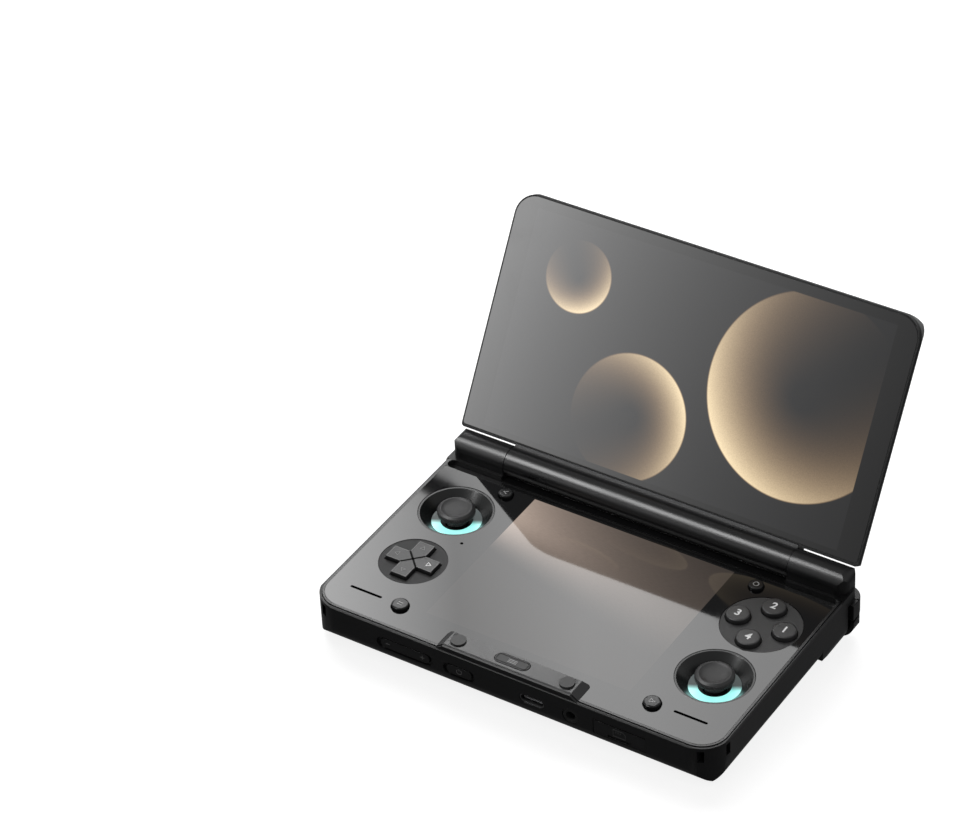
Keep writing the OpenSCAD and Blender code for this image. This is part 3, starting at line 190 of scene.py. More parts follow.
def makeMouldedGrain():
    # spark-eroded mould texture with soft variation of tone and gloss
    tree, given, result = startGroup("mouldedGrain", [
        ("Place", vectorIn, None), ("Grain", floatIn, 5000), ("Tone", colourIn, (0.02, 0.02, 0.02, 1)),
        ("Variation", floatIn, 0.25), ("Gloss", floatIn, 0.4)],
        [("Color", colourIn), ("Roughness", floatIn), ("Height", floatIn)])
    patches = noise(tree, given["Place"], 45, detail=4)  # about 2 cm across
    swing = calc(tree, "SUBTRACT", patches, 0.5)
    tone = calc(tree, "MULTIPLY_ADD", swing, given["Variation"], 1.0)
    link(tree, scaleVector(tree, given["Tone"], tone), result["Color"])
    link(tree, calc(tree, "MULTIPLY_ADD", swing, 0.16, given["Gloss"]), result["Roughness"])
    link(tree, noise(tree, given["Place"], given["Grain"]), result["Height"])
    return tree


def makeHandling():
    # faint smears that fingers leave on glass and gloss
    tree, given, result = startGroup("handlingSmears", [
        ("Place", vectorIn, None), ("Gloss", floatIn, 0.05), ("Amount", floatIn, 0.04)],
        [("Roughness", floatIn)])
    smear = noise(tree, given["Place"], 38, detail=5, distortion=1.2)
    shaped = rangeOf(tree, smear, 0.5, 0.8)
    link(tree, calc(tree, "MULTIPLY_ADD", shaped, given["Amount"], given["Gloss"]), result["Roughness"])
    return tree


def makeGlowDisc():
    # soft disc of the wallpaper: a rim that glows on one side and fades inwards
    tree, given, result = startGroup("glowDisc", [
        ("Place", vectorIn, None), ("Centre", vectorIn, None), ("Radius", floatIn, 0.02),
        ("Width", floatIn, 0.008), ("Lit Side", vectorIn, None)],
        [("Glow", floatIn)])
    blur = 0.00035  # half width of the soft edge
    away = vectorCalc(tree, "SUBTRACT", given["Place"], given["Centre"])
    reach = calc(tree, "SUBTRACT", vectorCalc(tree, "LENGTH", away), given["Radius"])
    inside = rangeOf(tree, reach, blur, -blur)
    depth = calc(tree, "ADD", calc(tree, "DIVIDE", reach, given["Width"]), 1.0, clamp=True)
    side = vectorCalc(tree, "DOT_PRODUCT", vectorCalc(tree, "NORMALIZE", away), given["Lit Side"])
    litSide = calc(tree, "POWER", calc(tree, "MULTIPLY_ADD", side, 0.5, 0.5, clamp=True), 1.6)
    glow = calc(tree, "MULTIPLY", calc(tree, "POWER", depth, 2.2), litSide)
    link(tree, calc(tree, "MULTIPLY", glow, inside), result["Glow"])
    return tree


mouldedGrain = makeMouldedGrain()
handlingSmears = makeHandling()
glowDisc = makeGlowDisc()
print("shared effects ready")


# materials

def startMaterial(name, **sockets):
    material = bpy.data.materials.new(name)
    material.use_nodes = True
    tree = material.node_tree
    shader = tree.nodes["Principled BSDF"]
    for label, value in sockets.items():
        shader.inputs[label.replace("_", " ")].default_value = value
    place = addNode(tree, "ShaderNodeTexCoord").outputs["Object"]
    return material, tree, shader.inputs, place


def bump(tree, sockets, height, distance):
    node = addNode(tree, "ShaderNodeBump")
    node.inputs["Distance"].default_value = distance
    node.inputs["Strength"].default_value = 1.0
    link(tree, height, node.inputs["Height"])
    link(tree, node.outputs[0], sockets["Normal"])


def moulded(name, tone, gloss, grain=5000, depth=0.00002, variation=0.25, **sockets):
    # moulded or painted plastic, anodised metal with a metallic value
    material, tree, into, place = startMaterial(name, **sockets)
    out = useGroup(tree, mouldedGrain, Place=place, Grain=grain, Tone=(*tone, 1),
                   Variation=variation, Gloss=gloss)
    link(tree, out["Color"], into["Base Color"])
    link(tree, out["Roughness"], into["Roughness"])
    bump(tree, into, out["Height"], depth)
    return material


lidLook = {
    "angle": 121,
    "axis": (41.8, 17.3),  # y and z of the hinge line
    "barrel": 5.2,  # the shell is black within this distance of the hinge line
    "lit": (66.4, 8.8, 83.5),  # half width, bottom and top of the lit area above the hinge line
    "unlit": (0.012, 0.012, 0.0125),
    "goldBright": (1.0, 0.80, 0.50),
    "goldDeep": (0.30, 0.185, 0.10),
    "discs": [  # centre, radius, width of the glow, lit side
        ((42, 52), 34, 30, (-0.72, -0.69)),
        ((-16, 27), 21, 18, (0.86, 0.50)),
        ((-46, 66), 12, 11, (0.50, -0.87)),
    ],
    # faint glow of the glass around the screen: a painted sheen
    "border": (0.006, 0.006, 0.006),
    "edge": 0.3,  # soft edge of the lit area
}


def lidPlane(tree, place):
    # coordinates on the open lid's face: x across, y up from the hinge line
    tilt = math.radians(lidLook["angle"] - 90)
    across = vectorCalc(tree, "DOT_PRODUCT", place, (1, 0, 0))
    up = vectorCalc(tree, "DOT_PRODUCT", place, (0, math.sin(tilt), math.cos(tilt)))
    axis = Vector((0, lidLook["axis"][0] * mm, lidLook["axis"][1] * mm))
    base = axis.y * math.sin(tilt) + axis.z * math.cos(tilt)
    joined = addNode(tree, "ShaderNodeCombineXYZ")
    link(tree, across, joined.inputs[0])
    link(tree, calc(tree, "SUBTRACT", up, base), joined.inputs[1])
    return joined.outputs[0]


def insideBox(tree, x, y, half, low, high, edge):
    # 1 inside the lit area of a display, with a soft edge
    sideways = rangeOf(tree, calc(tree, "ABSOLUTE", x), half + edge, half)
    upright = calc(tree, "MULTIPLY", rangeOf(tree, y, low - edge, low), rangeOf(tree, y, high + edge, high))
    return calc(tree, "MULTIPLY", upright, sideways)


def makeLidGlass():
    look = lidLook
    material, tree, into, place = startMaterial("lidGlass", Base_Color=(0.004, 0.004, 0.0045, 1),
                                                IOR=1.5, Specular_IOR_Level=0.3, Emission_Strength=1.0)
    plane = lidPlane(tree, place)
    x, y = splitVector(tree, plane)[:2]
    half, low, high = (value * mm for value in look["lit"])
    speckle = calc(tree, "MULTIPLY_ADD", noise(tree, place, 2600), 0.5, 0.75)
    colour = (*look["unlit"], 1)
    for centre, radius, width, side in look["discs"]:
        glow = useGroup(tree, glowDisc, Place=plane, Centre=(centre[0] * mm, centre[1] * mm, 0),
                        Radius=radius * mm, Width=width * mm, **{"Lit Side": (*side, 0)})["Glow"]
        deep = calc(tree, "MULTIPLY", calc(tree, "POWER", glow, 0.6), speckle, clamp=True)
        colour = mixColour(tree, deep, colour, (*look["goldDeep"], 1))
        bright = calc(tree, "MULTIPLY", calc(tree, "POWER", glow, 1.7), speckle, clamp=True)
        colour = mixColour(tree, bright, colour, (*look["goldBright"], 1))
    lit = insideBox(tree, x, y, half, low, high, look["edge"] * mm)
    # around the screen the glass glows faintly, a painted sheen
    link(tree, mixColour(tree, lit, (*look["border"], 1), colour), into["Emission Color"])
    smears = useGroup(tree, handlingSmears, Place=place, Gloss=0.06, Amount=0.05)
    link(tree, smears["Roughness"], into["Roughness"])
    return material


# the deck's screen glows with a painted reflection of the lid's lit screen, weaker to the right and towards
# the front
deckPaintedReflection = {
    "lit": (37.55, -34.2, 31.2),  # half width, front and rear edge of the screen area that carries the painted reflection
    "edge": 0.2,
    "top": (14.4, 14.5),  # only the upper face carries the painted reflection
    # colour of the painted reflection
    "glow": (1.0, 0.79, 0.66),
    "across": (0.095, -38.0, 0.018),  # strength at the middle, fall per metre to the right, floor
    "rearward": (9, 30, 1.35, 0.77),  # from y to y, factor there and there
    "fade": (0.28, -9, 13),  # slant of the fade's line, where it starts and ends
    "faint": 0.009,  # painted reflection that is left in front of the fade
    "brushed": (500, 4200, 1),
}


def makeDeckGlass():
    look = deckPaintedReflection
    material, tree, into, place = startMaterial("deckGlass", Base_Color=(0.0035, 0.0035, 0.004, 1),
                                                IOR=1.52, Specular_IOR_Level=0.22, Emission_Strength=1.0)
    x, y, z = splitVector(tree, place)
    half, front, rear = (value * mm for value in look["lit"])
    lit = insideBox(tree, x, y, half, front, rear, look["edge"] * mm)
    topOnly = rangeOf(tree, z, *(value * mm for value in look["top"]))
    middle, fall, least = look["across"]
    across = calc(tree, "EXPONENT", calc(tree, "MULTIPLY", x, fall))
    start, end, near, far = look["rearward"]
    level = calc(tree, "MULTIPLY", calc(tree, "MULTIPLY_ADD", across, middle, least),
                 rangeOf(tree, y, start * mm, end * mm, near, far, "LINEAR"))
    slant, dark, full = look["fade"]
    along = calc(tree, "MULTIPLY_ADD", x, slant, y)
    fade = calc(tree, "MULTIPLY_ADD", rangeOf(tree, along, dark * mm, full * mm), level, look["faint"])
    stretch = addNode(tree, "ShaderNodeMapping")
    stretch.inputs["Scale"].default_value = look["brushed"]
    link(tree, place, stretch.inputs["Vector"])
    speckle = calc(tree, "MULTIPLY_ADD", noise(tree, stretch.outputs[0], 1.0), 0.34, 0.83)
    # strength of the painted reflection of the lid's screen
    strength = calc(tree, "MULTIPLY", calc(tree, "MULTIPLY", fade, speckle),
                    calc(tree, "MULTIPLY", lit, topOnly))
    link(tree, scaleVector(tree, look["glow"], strength), into["Emission Color"])
    smears = useGroup(tree, handlingSmears, Place=place, Gloss=0.035, Amount=0.03)
    link(tree, smears["Roughness"], into["Roughness"])
    return material


stick = {
    "left": (-57, 13.4), "right": (57, -15.2),
    "top": 16.1, "radius": 6.4, "dish": 4.9,
    "studs": 52, "rows": 3, "studSize": 0.42,
    "knurl": (1.6, 2.25),  # height of the band and depth of its lower edge under the top
    "dome": (4.1, 8.4),  # radius and height of its centre
    "paintedShadeEdge": (-0.4, 3.6),  # the ring glows and is pale where it lies in front of the stick; behind, it is painted dark as shade
}


def fromStick(tree, place):
    # x and y from the nearer stick's centre
    (leftX, leftY), (rightX, rightY) = ((x * mm, y * mm) for x, y in (stick["left"], stick["right"]))
    x, y = splitVector(tree, place)[:2]
    onLeft = calc(tree, "LESS_THAN", x, 0.0)
    middleX = calc(tree, "MULTIPLY_ADD", onLeft, leftX - rightX, rightX)
    middleY = calc(tree, "MULTIPLY_ADD", onLeft, leftY - rightY, rightY)
    return calc(tree, "SUBTRACT", x, middleX), calc(tree, "SUBTRACT", y, middleY)


def makeLightRing():
    material, tree, into, place = startMaterial("ringDiffuser", Roughness=0.45, Emission_Strength=1.0)
    colour = mixColour(tree, noise(tree, place, 260), (0.26, 0.92, 0.86, 1), (0.46, 1.0, 0.94, 1))
    x, y = fromStick(tree, place)
    unshadedFront = rangeOf(tree, calc(tree, "SUBTRACT", calc(tree, "MULTIPLY", x, 0.5), y),
                      *(value * mm for value in stick["paintedShadeEdge"]))
    # the ring's far side is painted dark: painted shade where the cap hides the glow
    link(tree, mixColour(tree, unshadedFront, (0.001, 0.012, 0.012, 1), colour), into["Emission Color"])
    link(tree, mixColour(tree, unshadedFront, (0.006, 0.010, 0.010, 1), (0.35, 0.45, 0.45, 1)), into["Base Color"])
    return material


def makeBoard():
    material, tree, into, place = startMaterial("circuitBoard", Roughness=0.45)
    weave = addNode(tree, "ShaderNodeTexWave")
    weave.inputs["Scale"].default_value = 900
    weave.inputs["Distortion"].default_value = 6
    link(tree, place, weave.inputs["Vector"])
    tracks = rangeOf(tree, weave.outputs["Fac"], 0.62, 0.7)
    lacquer = mixColour(tree, tracks, (0.004, 0.05, 0.028, 1), (0.012, 0.10, 0.05, 1))
    link(tree, lacquer, into["Base Color"])
    bump(tree, into, weave.outputs["Fac"], 0.00003)
    return material


def makeFoil():
    material, tree, into, place = startMaterial("batteryFoil", Metallic=0.6)
    fold = noise(tree, place, 120, detail=6)
    link(tree, mixColour(tree, fold, (0.05, 0.05, 0.055, 1), (0.12, 0.12, 0.13, 1)), into["Base Color"])
    link(tree, rangeOf(tree, fold, 0.3, 0.7, 0.25, 0.5, "LINEAR"), into["Roughness"])
    bump(tree, into, fold, 0.0002)
    return material


case = moulded("caseBlack", (0.0065, 0.0065, 0.007), 0.32, depth=0.000012, Specular_IOR_Level=0.18)
rim = moulded("frameSatin", (0.009, 0.009, 0.0095), 0.28, depth=0.00001, Specular_IOR_Level=0.3)
lidPaint = moulded("lidPaint", (0.078, 0.078, 0.080), 0.48, grain=4200, depth=0.00002,
                   Specular_IOR_Level=0.35)
barrelPaint = moulded("barrelPaint", (0.006, 0.006, 0.0065), 0.29, depth=0.00001,
                      Specular_IOR_Level=0.17)
bezel = moulded("lidFrameBlack", (0.008, 0.008, 0.0085), 0.35, Specular_IOR_Level=0.15)
keyPlastic = moulded("keyPlastic", (0.021, 0.021, 0.0215), 0.34, depth=0.000015, Specular_IOR_Level=0.28)
glossKey = moulded("glossKey", (0.008, 0.008, 0.0085), 0.20, depth=0.000006, Specular_IOR_Level=0.15)
wellPlate = moulded("wellPlate", (0.028, 0.028, 0.0285), 0.46, depth=0.00002, Specular_IOR_Level=0.25)
darkPlate = moulded("darkPlate", (0.014, 0.014, 0.0145), 0.46, depth=0.00002, Specular_IOR_Level=0.16)
# the faint teal tint is a painted reflection of the light rings
wellGloss = moulded("wellGloss", (0.006, 0.0068, 0.0068), 0.24, depth=0.000006, Specular_IOR_Level=0.2)
capRubber = moulded("capRubber", (0.021, 0.021, 0.0215), 0.48, grain=3500, depth=0.00003,
                    Specular_IOR_Level=0.25)
sideKey = moulded("sideKey", (0.007, 0.007, 0.0075), 0.36, Specular_IOR_Level=0.2)
softRubber = moulded("softRubber", (0.040, 0.040, 0.040), 0.55, grain=3000, depth=0.00004,
                     Specular_IOR_Level=0.3)
steel = moulded("brushedSteel", (0.52, 0.52, 0.53), 0.28, grain=2500, depth=0.000006, variation=0.15,
                Metallic=1.0)
socketSteel = moulded("socketSteel", (0.16, 0.16, 0.165), 0.30, grain=2500, depth=0.000006, Metallic=1.0)
copper = moulded("copper", (0.72, 0.33, 0.16), 0.30, grain=1800, depth=0.00001, Metallic=1.0)
innerBlack = moulded("innerBlack", (0.010, 0.010, 0.010), 0.55, Specular_IOR_Level=0.15)
silicone = moulded("silicone", (0.30, 0.30, 0.28), 0.60, depth=0.00003)
flexAmber = moulded("flexAmber", (0.45, 0.19, 0.03), 0.35, grain=900)
brass = moulded("brass", (0.60, 0.47, 0.22), 0.30, Metallic=1.0)
# black for print, and for the painted shade in the cross key's groove
inkAndGrooveShade = moulded("inkAndGrooveShade", (0.002, 0.002, 0.002), 0.6, depth=0.000004, Specular_IOR_Level=0.05)
printed = {"grain": 6000, "depth": 0.000004, "variation": 0.1}
whitePrint = moulded("whitePrint", (0.80, 0.80, 0.80), 0.45, **printed)
# dim grey for print, and for the painted highlight on the cross key's edge
dimPrintAndHighlight = moulded("dimPrintAndHighlight", (0.10, 0.10, 0.10), 0.50, **printed)
greyPrint = moulded("greyPrint", (0.30, 0.30, 0.30), 0.50, **printed)
fadedPrint = moulded("fadedPrint", (0.035, 0.035, 0.036), 0.45, **printed)
lidGlass, deckGlass, ringDiffuser = makeLidGlass(), makeDeckGlass(), makeLightRing()
circuitBoard, batteryFoil = makeBoard(), makeFoil()
print("materials ready")


# mesh helpers

def addObject(name, mesh, material):
    obj = bpy.data.objects.new(name, mesh)
    scene.collection.objects.link(obj)
    mesh.materials.clear()
    mesh.materials.append(material)
    return obj


def settle(obj):
    # the modifiers become the mesh
    mesh = bpy.data.meshes.new_from_object(obj.evaluated_get(bpy.context.evaluated_depsgraph_get()))
    obj.modifiers.clear()
    obj.data = mesh
    return obj


def smooth(mesh, angle=32):
    mesh.shade_smooth()
    mesh.set_sharp_from_angle(angle=math.radians(angle))


joining = {
    "distance": 0.002,  # corners nearer than this are one
    "flat": 0.4,  # degrees between faces that become one
    "corners": 16,  # a face with more is cut into triangles again, or its slots tear when it is bevelled
}


def copyNode(node):
    # the CAD node's loose triangles, joined, with small flat areas as single faces
    form = bmesh.new()
    form.from_mesh(nodes[node].data)
    bmesh.ops.remove_doubles(form, verts=form.verts, dist=joining["distance"] * mm)
    bmesh.ops.dissolve_limit(form, angle_limit=math.radians(joining["flat"]),
                             verts=form.verts, edges=form.edges)
    large = [face for face in form.faces if len(face.verts) > joining["corners"]]
    bmesh.ops.triangulate(form, faces=large)
    mesh = bpy.data.meshes.new(node + "Form")
    form.to_mesh(mesh)
    form.free()
    return mesh


def dress(node, material, bevel=0.15, segments=2, angle=34):
    # a CAD node with its outer edges softened, standing for the node
    obj = addObject(node + ".finish", copyNode(node), material)
    smooth(obj.data)
    if bevel:
        soften = obj.modifiers.new("soften", "BEVEL")
        soften.width = bevel * mm
        soften.segments = segments
        soften.limit_method = "ANGLE"
        soften.angle_limit = math.radians(angle)
        soften.use_clamp_overlap = True
        soften.miter_outer = "MITER_ARC"
        even = obj.modifiers.new("even", "WEIGHTED_NORMAL")
        even.keep_sharp = True
        settle(obj)
    carry(obj, nodes[node]["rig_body"])
    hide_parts(node)
    return obj


def carry(obj, body):
    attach(obj, body)
    return obj


def finishNode(node, material):
    obj = nodes[node]
    obj.data.materials.clear()
    obj.data.materials.append(material)


def latheMesh(name, profile, steps=96):
    # profile of (radius, height) in mm from the axis outwards and back, closed on the axis
    form = bmesh.new()
    rings = []
    for radius, height in profile:
        turns = [2 * math.pi * i / steps for i in range(steps if radius else 1)]
        rings.append([
            form.verts.new((radius * math.cos(turn) * mm, radius * math.sin(turn) * mm, height * mm))
            for turn in turns])
    for first, second in zip(rings, rings[1:]):
        for i in range(steps):
            j = (i + 1) % steps
            corners = (first[i % len(first)], first[j % len(first)],
                       second[j % len(second)], second[i % len(second)])
            unique = list(dict.fromkeys(corners))
            if len(unique) > 2:
                form.faces.new(unique)
    bmesh.ops.recalc_face_normals(form, faces=form.faces)
    mesh = bpy.data.meshes.new(name)
    form.to_mesh(mesh)
    form.free()
    return mesh


def moved(obj, place, turn=None):
    # puts the place into the mesh, so the object stays at the origin
    matrix = Matrix.Translation(Vector(place) * mm)
    obj.data.transform(matrix @ turn if turn else matrix)
    return obj


# geometry-node trees

def startTree(name, inputs):
    tree = bpy.data.node_groups.new(name, "GeometryNodeTree")
    tree.interface.new_socket("Geometry", in_out="INPUT", socket_type="NodeSocketGeometry")
    for label, kind, value in inputs:
        socket = tree.interface.new_socket(label, in_out="INPUT", socket_type=kind)
        if value is not None:
            socket.default_value = value
    tree.interface.new_socket("Geometry", in_out="OUTPUT", socket_type="NodeSocketGeometry")
    return tree, tree.nodes.new("NodeGroupInput").outputs, tree.nodes.new("NodeGroupOutput").inputs


def endTree(tree, instances, given, result):
    real = tree.nodes.new("GeometryNodeRealizeInstances")
    paint = tree.nodes.new("GeometryNodeSetMaterial")
    link(tree, instances, real.inputs[0])
    link(tree, real.outputs[0], paint.inputs["Geometry"])
    link(tree, given["Material"], paint.inputs["Material"])
    link(tree, paint.outputs[0], result["Geometry"])


def growPiece(name, tree, material, values):
    # a new object whose mesh the tree makes
    obj = addObject(name, bpy.data.meshes.new(name), material)
    modifier = obj.modifiers.new("grow", "NODES")
    modifier.node_group = tree
    sockets = {item.name: item.identifier for item in tree.interface.items_tree if item.in_out == "INPUT"}
    modifier[sockets["Material"]] = material
    for label, value in values.items():
        modifier[sockets[label]] = value
    obj.update_tag()
    return settle(obj)


def makeKnurlTree():
    # rows of small pyramids round a cylinder, every second row shifted by half a step
    tree, given, result = startTree("knurlBand", [
        ("Material", "NodeSocketMaterial", None), ("Radius", floatIn, None), ("Height", floatIn, None),
        ("Studs", "NodeSocketInt", None), ("Rows", "NodeSocketInt", None), ("Stud Size", floatIn, None)])
    total = calc(tree, "MULTIPLY", given["Studs"], given["Rows"])
    points = tree.nodes.new("GeometryNodePoints")
    link(tree, total, points.inputs["Count"])
    index = tree.nodes.new("GeometryNodeInputIndex").outputs[0]
    row = calc(tree, "FLOOR", calc(tree, "DIVIDE", index, given["Studs"]))
    step = calc(tree, "MULTIPLY_ADD", row, 0.5, calc(tree, "MODULO", index, given["Studs"]))
    angle = calc(tree, "MULTIPLY", calc(tree, "DIVIDE", step, given["Studs"]), 2 * math.pi)
    part = calc(tree, "DIVIDE", calc(tree, "ADD", row, 0.5), given["Rows"])
    level = calc(tree, "MULTIPLY", part, given["Height"])
    spot = tree.nodes.new("ShaderNodeCombineXYZ")
    link(tree, calc(tree, "MULTIPLY", calc(tree, "COSINE", angle), given["Radius"]), spot.inputs[0])
    link(tree, calc(tree, "MULTIPLY", calc(tree, "SINE", angle), given["Radius"]), spot.inputs[1])
    link(tree, level, spot.inputs[2])
    link(tree, spot.outputs[0], points.inputs["Position"])
    stud = tree.nodes.new("GeometryNodeMeshCone")
    stud.fill_type = "NGON"
    stud.inputs["Vertices"].default_value = 4
    stud.inputs["Radius Top"].default_value = 0
    link(tree, given["Stud Size"], stud.inputs["Radius Bottom"])
    link(tree, calc(tree, "MULTIPLY", given["Stud Size"], 0.75), stud.inputs["Depth"])
    turn = tree.nodes.new("ShaderNodeCombineXYZ")
    turn.inputs[1].default_value = math.pi / 2
    link(tree, angle, turn.inputs[2])
    put = tree.nodes.new("GeometryNodeInstanceOnPoints")
    link(tree, points.outputs[0], put.inputs["Points"])
    link(tree, stud.outputs["Mesh"], put.inputs["Instance"])
    link(tree, turn.outputs[0], put.inputs["Rotation"])
    endTree(tree, put.outputs[0], given, result)
    return tree


def makeRowTree():
    # a row of small blocks, such as socket contacts
    tree, given, result = startTree("blockRow", [
        ("Material", "NodeSocketMaterial", None), ("Count", "NodeSocketInt", None), ("Pitch", floatIn, None),
        ("Block", vectorIn, None), ("Start", vectorIn, None)])
    line = tree.nodes.new("GeometryNodeMeshLine")
    link(tree, given["Count"], line.inputs["Count"])
    link(tree, given["Start"], line.inputs["Start Location"])
    step = tree.nodes.new("ShaderNodeCombineXYZ")
    link(tree, given["Pitch"], step.inputs[0])
    link(tree, step.outputs[0], line.inputs["Offset"])
    block = tree.nodes.new("GeometryNodeMeshCube")
    link(tree, given["Block"], block.inputs["Size"])
    put = tree.nodes.new("GeometryNodeInstanceOnPoints")
    link(tree, line.outputs[0], put.inputs["Points"])
    link(tree, block.outputs["Mesh"], put.inputs["Instance"])
    endTree(tree, put.outputs[0], given, result)
    return tree


knurlTree, rowTree = makeKnurlTree(), makeRowTree()
print("geometry trees ready")


# case and deck

dress("base_shell", case, 0.12)
dress("top_frame", rim, 0.13)
dress("deck_glass", deckGlass, 0.06)
dress("hinge_cover", lidPaint, 0.10)
lidBack = dress("lid_shell", lidPaint, 0.10)
lidBack.data.materials.append(barrelPaint)
for face in lidBack.data.polygons:
    y, z = face.center.y / mm - lidLook["axis"][0], face.center.z / mm - lidLook["axis"][1]
    if math.hypot(y, z) < lidLook["barrel"]:
        face.material_index = 1
dress("lid_frame", bezel, 0.12)
dress("lid_glass", lidGlass, 0.08)
for side in ("left", "right"):
    dress(side + "_shoulder", case, 0.25, 3)
    dress(side + "_trigger", case, 0.25, 3)
print("case, deck and lid dressed")


# sticks

def makeStickCap(side):
    # concave top, rolled rim and a side that draws in below
    top, radius, dish = stick["top"], stick["radius"], stick["dish"]
    place = (*stick[side], 0)
    profile = [(0, top - 0.62), (1.5, top - 0.60), (3.0, top - 0.52), (4.0, top - 0.38),
               (dish - 0.25, top - 0.16), (dish - 0.05, top - 0.04), (dish + 0.12, top), (dish + 0.38, top),
               (dish + 0.52, top - 0.05), (dish + 0.62, top - 0.16), (radius - 0.42, top - 0.48),
               (radius - 0.28, top - 0.62), (radius - 0.24, top - 0.8), (radius - 0.24, top - 1.8),
               (radius - 0.4, top - 2.3), (radius - 1.1, top - 2.8), (4.2, top - 3.1), (3.9, top - 3.2),
               (1.4, top - 3.2), (1.4, top - 1.0), (0, top - 1.0)]
    cap = addObject(side + "_stick_cap.finish", latheMesh(side + "Cap", profile), capRubber)
    smooth(cap.data, 50)
    moved(cap, place)
    carry(cap, side + "_stick")
    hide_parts(side + "_stick_cap")


def makeKnurl(side):
    height, depth = stick["knurl"]
    x, y = stick[side]
    knurl = growPiece(side + "_stick_cap.knurl", knurlTree, capRubber, {
        "Radius": (stick["radius"] - 0.26) * mm, "Height": height * mm, "Studs": stick["studs"],
        "Rows": stick["rows"], "Stud Size": stick["studSize"] * mm})
    moved(knurl, (x, y, stick["top"] - depth))
    carry(knurl, side + "_stick")


def makeDome(side):
    # round dust dome under the cap, its centre on the tilt axes
    reach, pivot = stick["dome"]
    slope = [math.radians(90 - 7.2 * i) for i in range(9)]
    lower = pivot + reach * math.sin(slope[-1])
    profile = [(0, pivot + reach)]
    profile += [(reach * math.cos(a), pivot + reach * math.sin(a)) for a in slope[1:]]
    profile += [(1.5, lower), (0, pivot + 3)]
    dome = addObject(side + "_stick_cap.dome", latheMesh(side + "Dome", profile), capRubber)
    smooth(dome.data, 50)
    moved(dome, (*stick[side], 0))
    carry(dome, side + "_stick")


for side in ("left", "right"):
    makeStickCap(side)
    makeKnurl(side)
    makeDome(side)
dress("stick_wells", wellGloss, 0.08)
finishNode("light_rings", ringDiffuser)
print("sticks ready")


# buttons

buttons = {
    "face": (57.6, 13.2), "pitch": 8.4, "faceTop": 16.1,  # middle of the four, distance to each, their height
    "numberSize": 4.0,
    "small": {"select_button": (-46.6, -35.8), "start_button": (46.6, -35.8),
              "back_button": (-47.2, 28.5), "home_button": (47.2, 28.5)},
    "smallTop": 15.8, "smallStroke": 0.26,
}


def printText(name, text, size, place, body, material, thickness=0.03):
    # a printed figure lying on an upward face
    curve = bpy.data.curves.new(name, "FONT")
    curve.body = text
    curve.size = size * mm
    curve.extrude = thickness * mm
    curve.offset = 0.10 * mm  # bold
    curve.align_x = "CENTER"
    curve.align_y = "CENTER"
    source = bpy.data.objects.new(name + "Source", curve)
    scene.collection.objects.link(source)
    bpy.context.view_layer.update()
    mesh = bpy.data.meshes.new_from_object(source.evaluated_get(bpy.context.evaluated_depsgraph_get()))
    bpy.data.objects.remove(source)
    obj = addObject(name, mesh, material)
    moved(obj, place)
    return carry(obj, body)


def printStrokes(name, strokes, width, place, body, material, facing="up", thickness=0.05):
    # marks made of thick strokes: each is a list of points in the mark's own plane, in mm
    form = bmesh.new()
    for points in strokes:
        closed = points[0] == points[-1] and len(points) > 2
        line = [Vector((x, y, 0)) * mm for x, y in (points[:-1] if closed else points)]
        count = len(line)
        sides = []
        for i, spot in enumerate(line):
            before = line[i - 1] if (i or closed) else spot
            after = line[(i + 1) % count] if (i < count - 1 or closed) else spot
            run = (after - before).normalized()
            normal = Vector((-run.y, run.x, 0)) * width * mm / 2
            if (i or closed) and (i < count - 1 or closed):
                first, second = (spot - before).normalized(), (after - spot).normalized()
                normal /= max(0.5, math.sqrt(max(0.0, (1 + first.dot(second)) / 2)))
            sides.append((spot + normal, spot - normal))
        low, high = ([[form.verts.new((p.x, p.y, z)) for p in pair] for pair in sides]
                     for z in (0, thickness * mm))
        last = count if closed else count - 1
        for i in range(last):
            j = (i + 1) % count
            form.faces.new((high[i][0], high[i][1], high[j][1], high[j][0]))
            form.faces.new((low[i][0], low[j][0], low[j][1], low[i][1]))
            form.faces.new((high[i][0], high[j][0], low[j][0], low[i][0]))
            form.faces.new((high[i][1], low[i][1], low[j][1], high[j][1]))
        if not closed:
            form.faces.new((high[0][0], low[0][0], low[0][1], high[0][1]))
            form.faces.new((high[-1][0], high[-1][1], low[-1][1], low[-1][0]))
    bmesh.ops.recalc_face_normals(form, faces=form.faces)
    mesh = bpy.data.meshes.new(name)
    form.to_mesh(mesh)
    form.free()
    obj = addObject(name, mesh, material)
    moved(obj, place, Matrix.Rotation(math.pi / 2, 4, "X") if facing == "front" else None)
    return carry(obj, body)


def arc(radius, start, end, count=20):
    return [(radius * math.cos(math.radians(start + (end - start) * i / count)),
             radius * math.sin(math.radians(start + (end - start) * i / count))) for i in range(count + 1)]


for number, (dx, dy) in enumerate([(1, 0), (0, 1), (-1, 0), (0, -1)], 1):
    name = "face_button_%d" % number
    dress(name, keyPlastic, 0.28, 3)
    x, y = buttons["face"][0] + buttons["pitch"] * dx, buttons["face"][1] + buttons["pitch"] * dy
    place = (x, y, buttons["faceTop"] - 0.01)
    printText(name + ".number", str(number), buttons["numberSize"], place, name, whitePrint)
marks = {
    "select_button": [[(-0.9, 0.5), (0.9, 0.5)], [(-0.9, -0.5), (0.9, -0.5)]],
    "start_button": [[(-0.8, 0.8), (0.9, 0.0), (-0.8, -0.8), (-0.8, 0.8)]],
    "back_button": [[(0.7, 0.8), (-0.7, 0.0), (0.7, -0.8)]],
    "home_button": [arc(0.9, 0, 360)],
}
for name, (x, y) in buttons["small"].items():
    dress(name, glossKey, 0.35, 4)
    place = (x, y, buttons["smallTop"] - 0.02)
    printStrokes(name + ".mark", marks[name], buttons["smallStroke"], place, name, greyPrint)

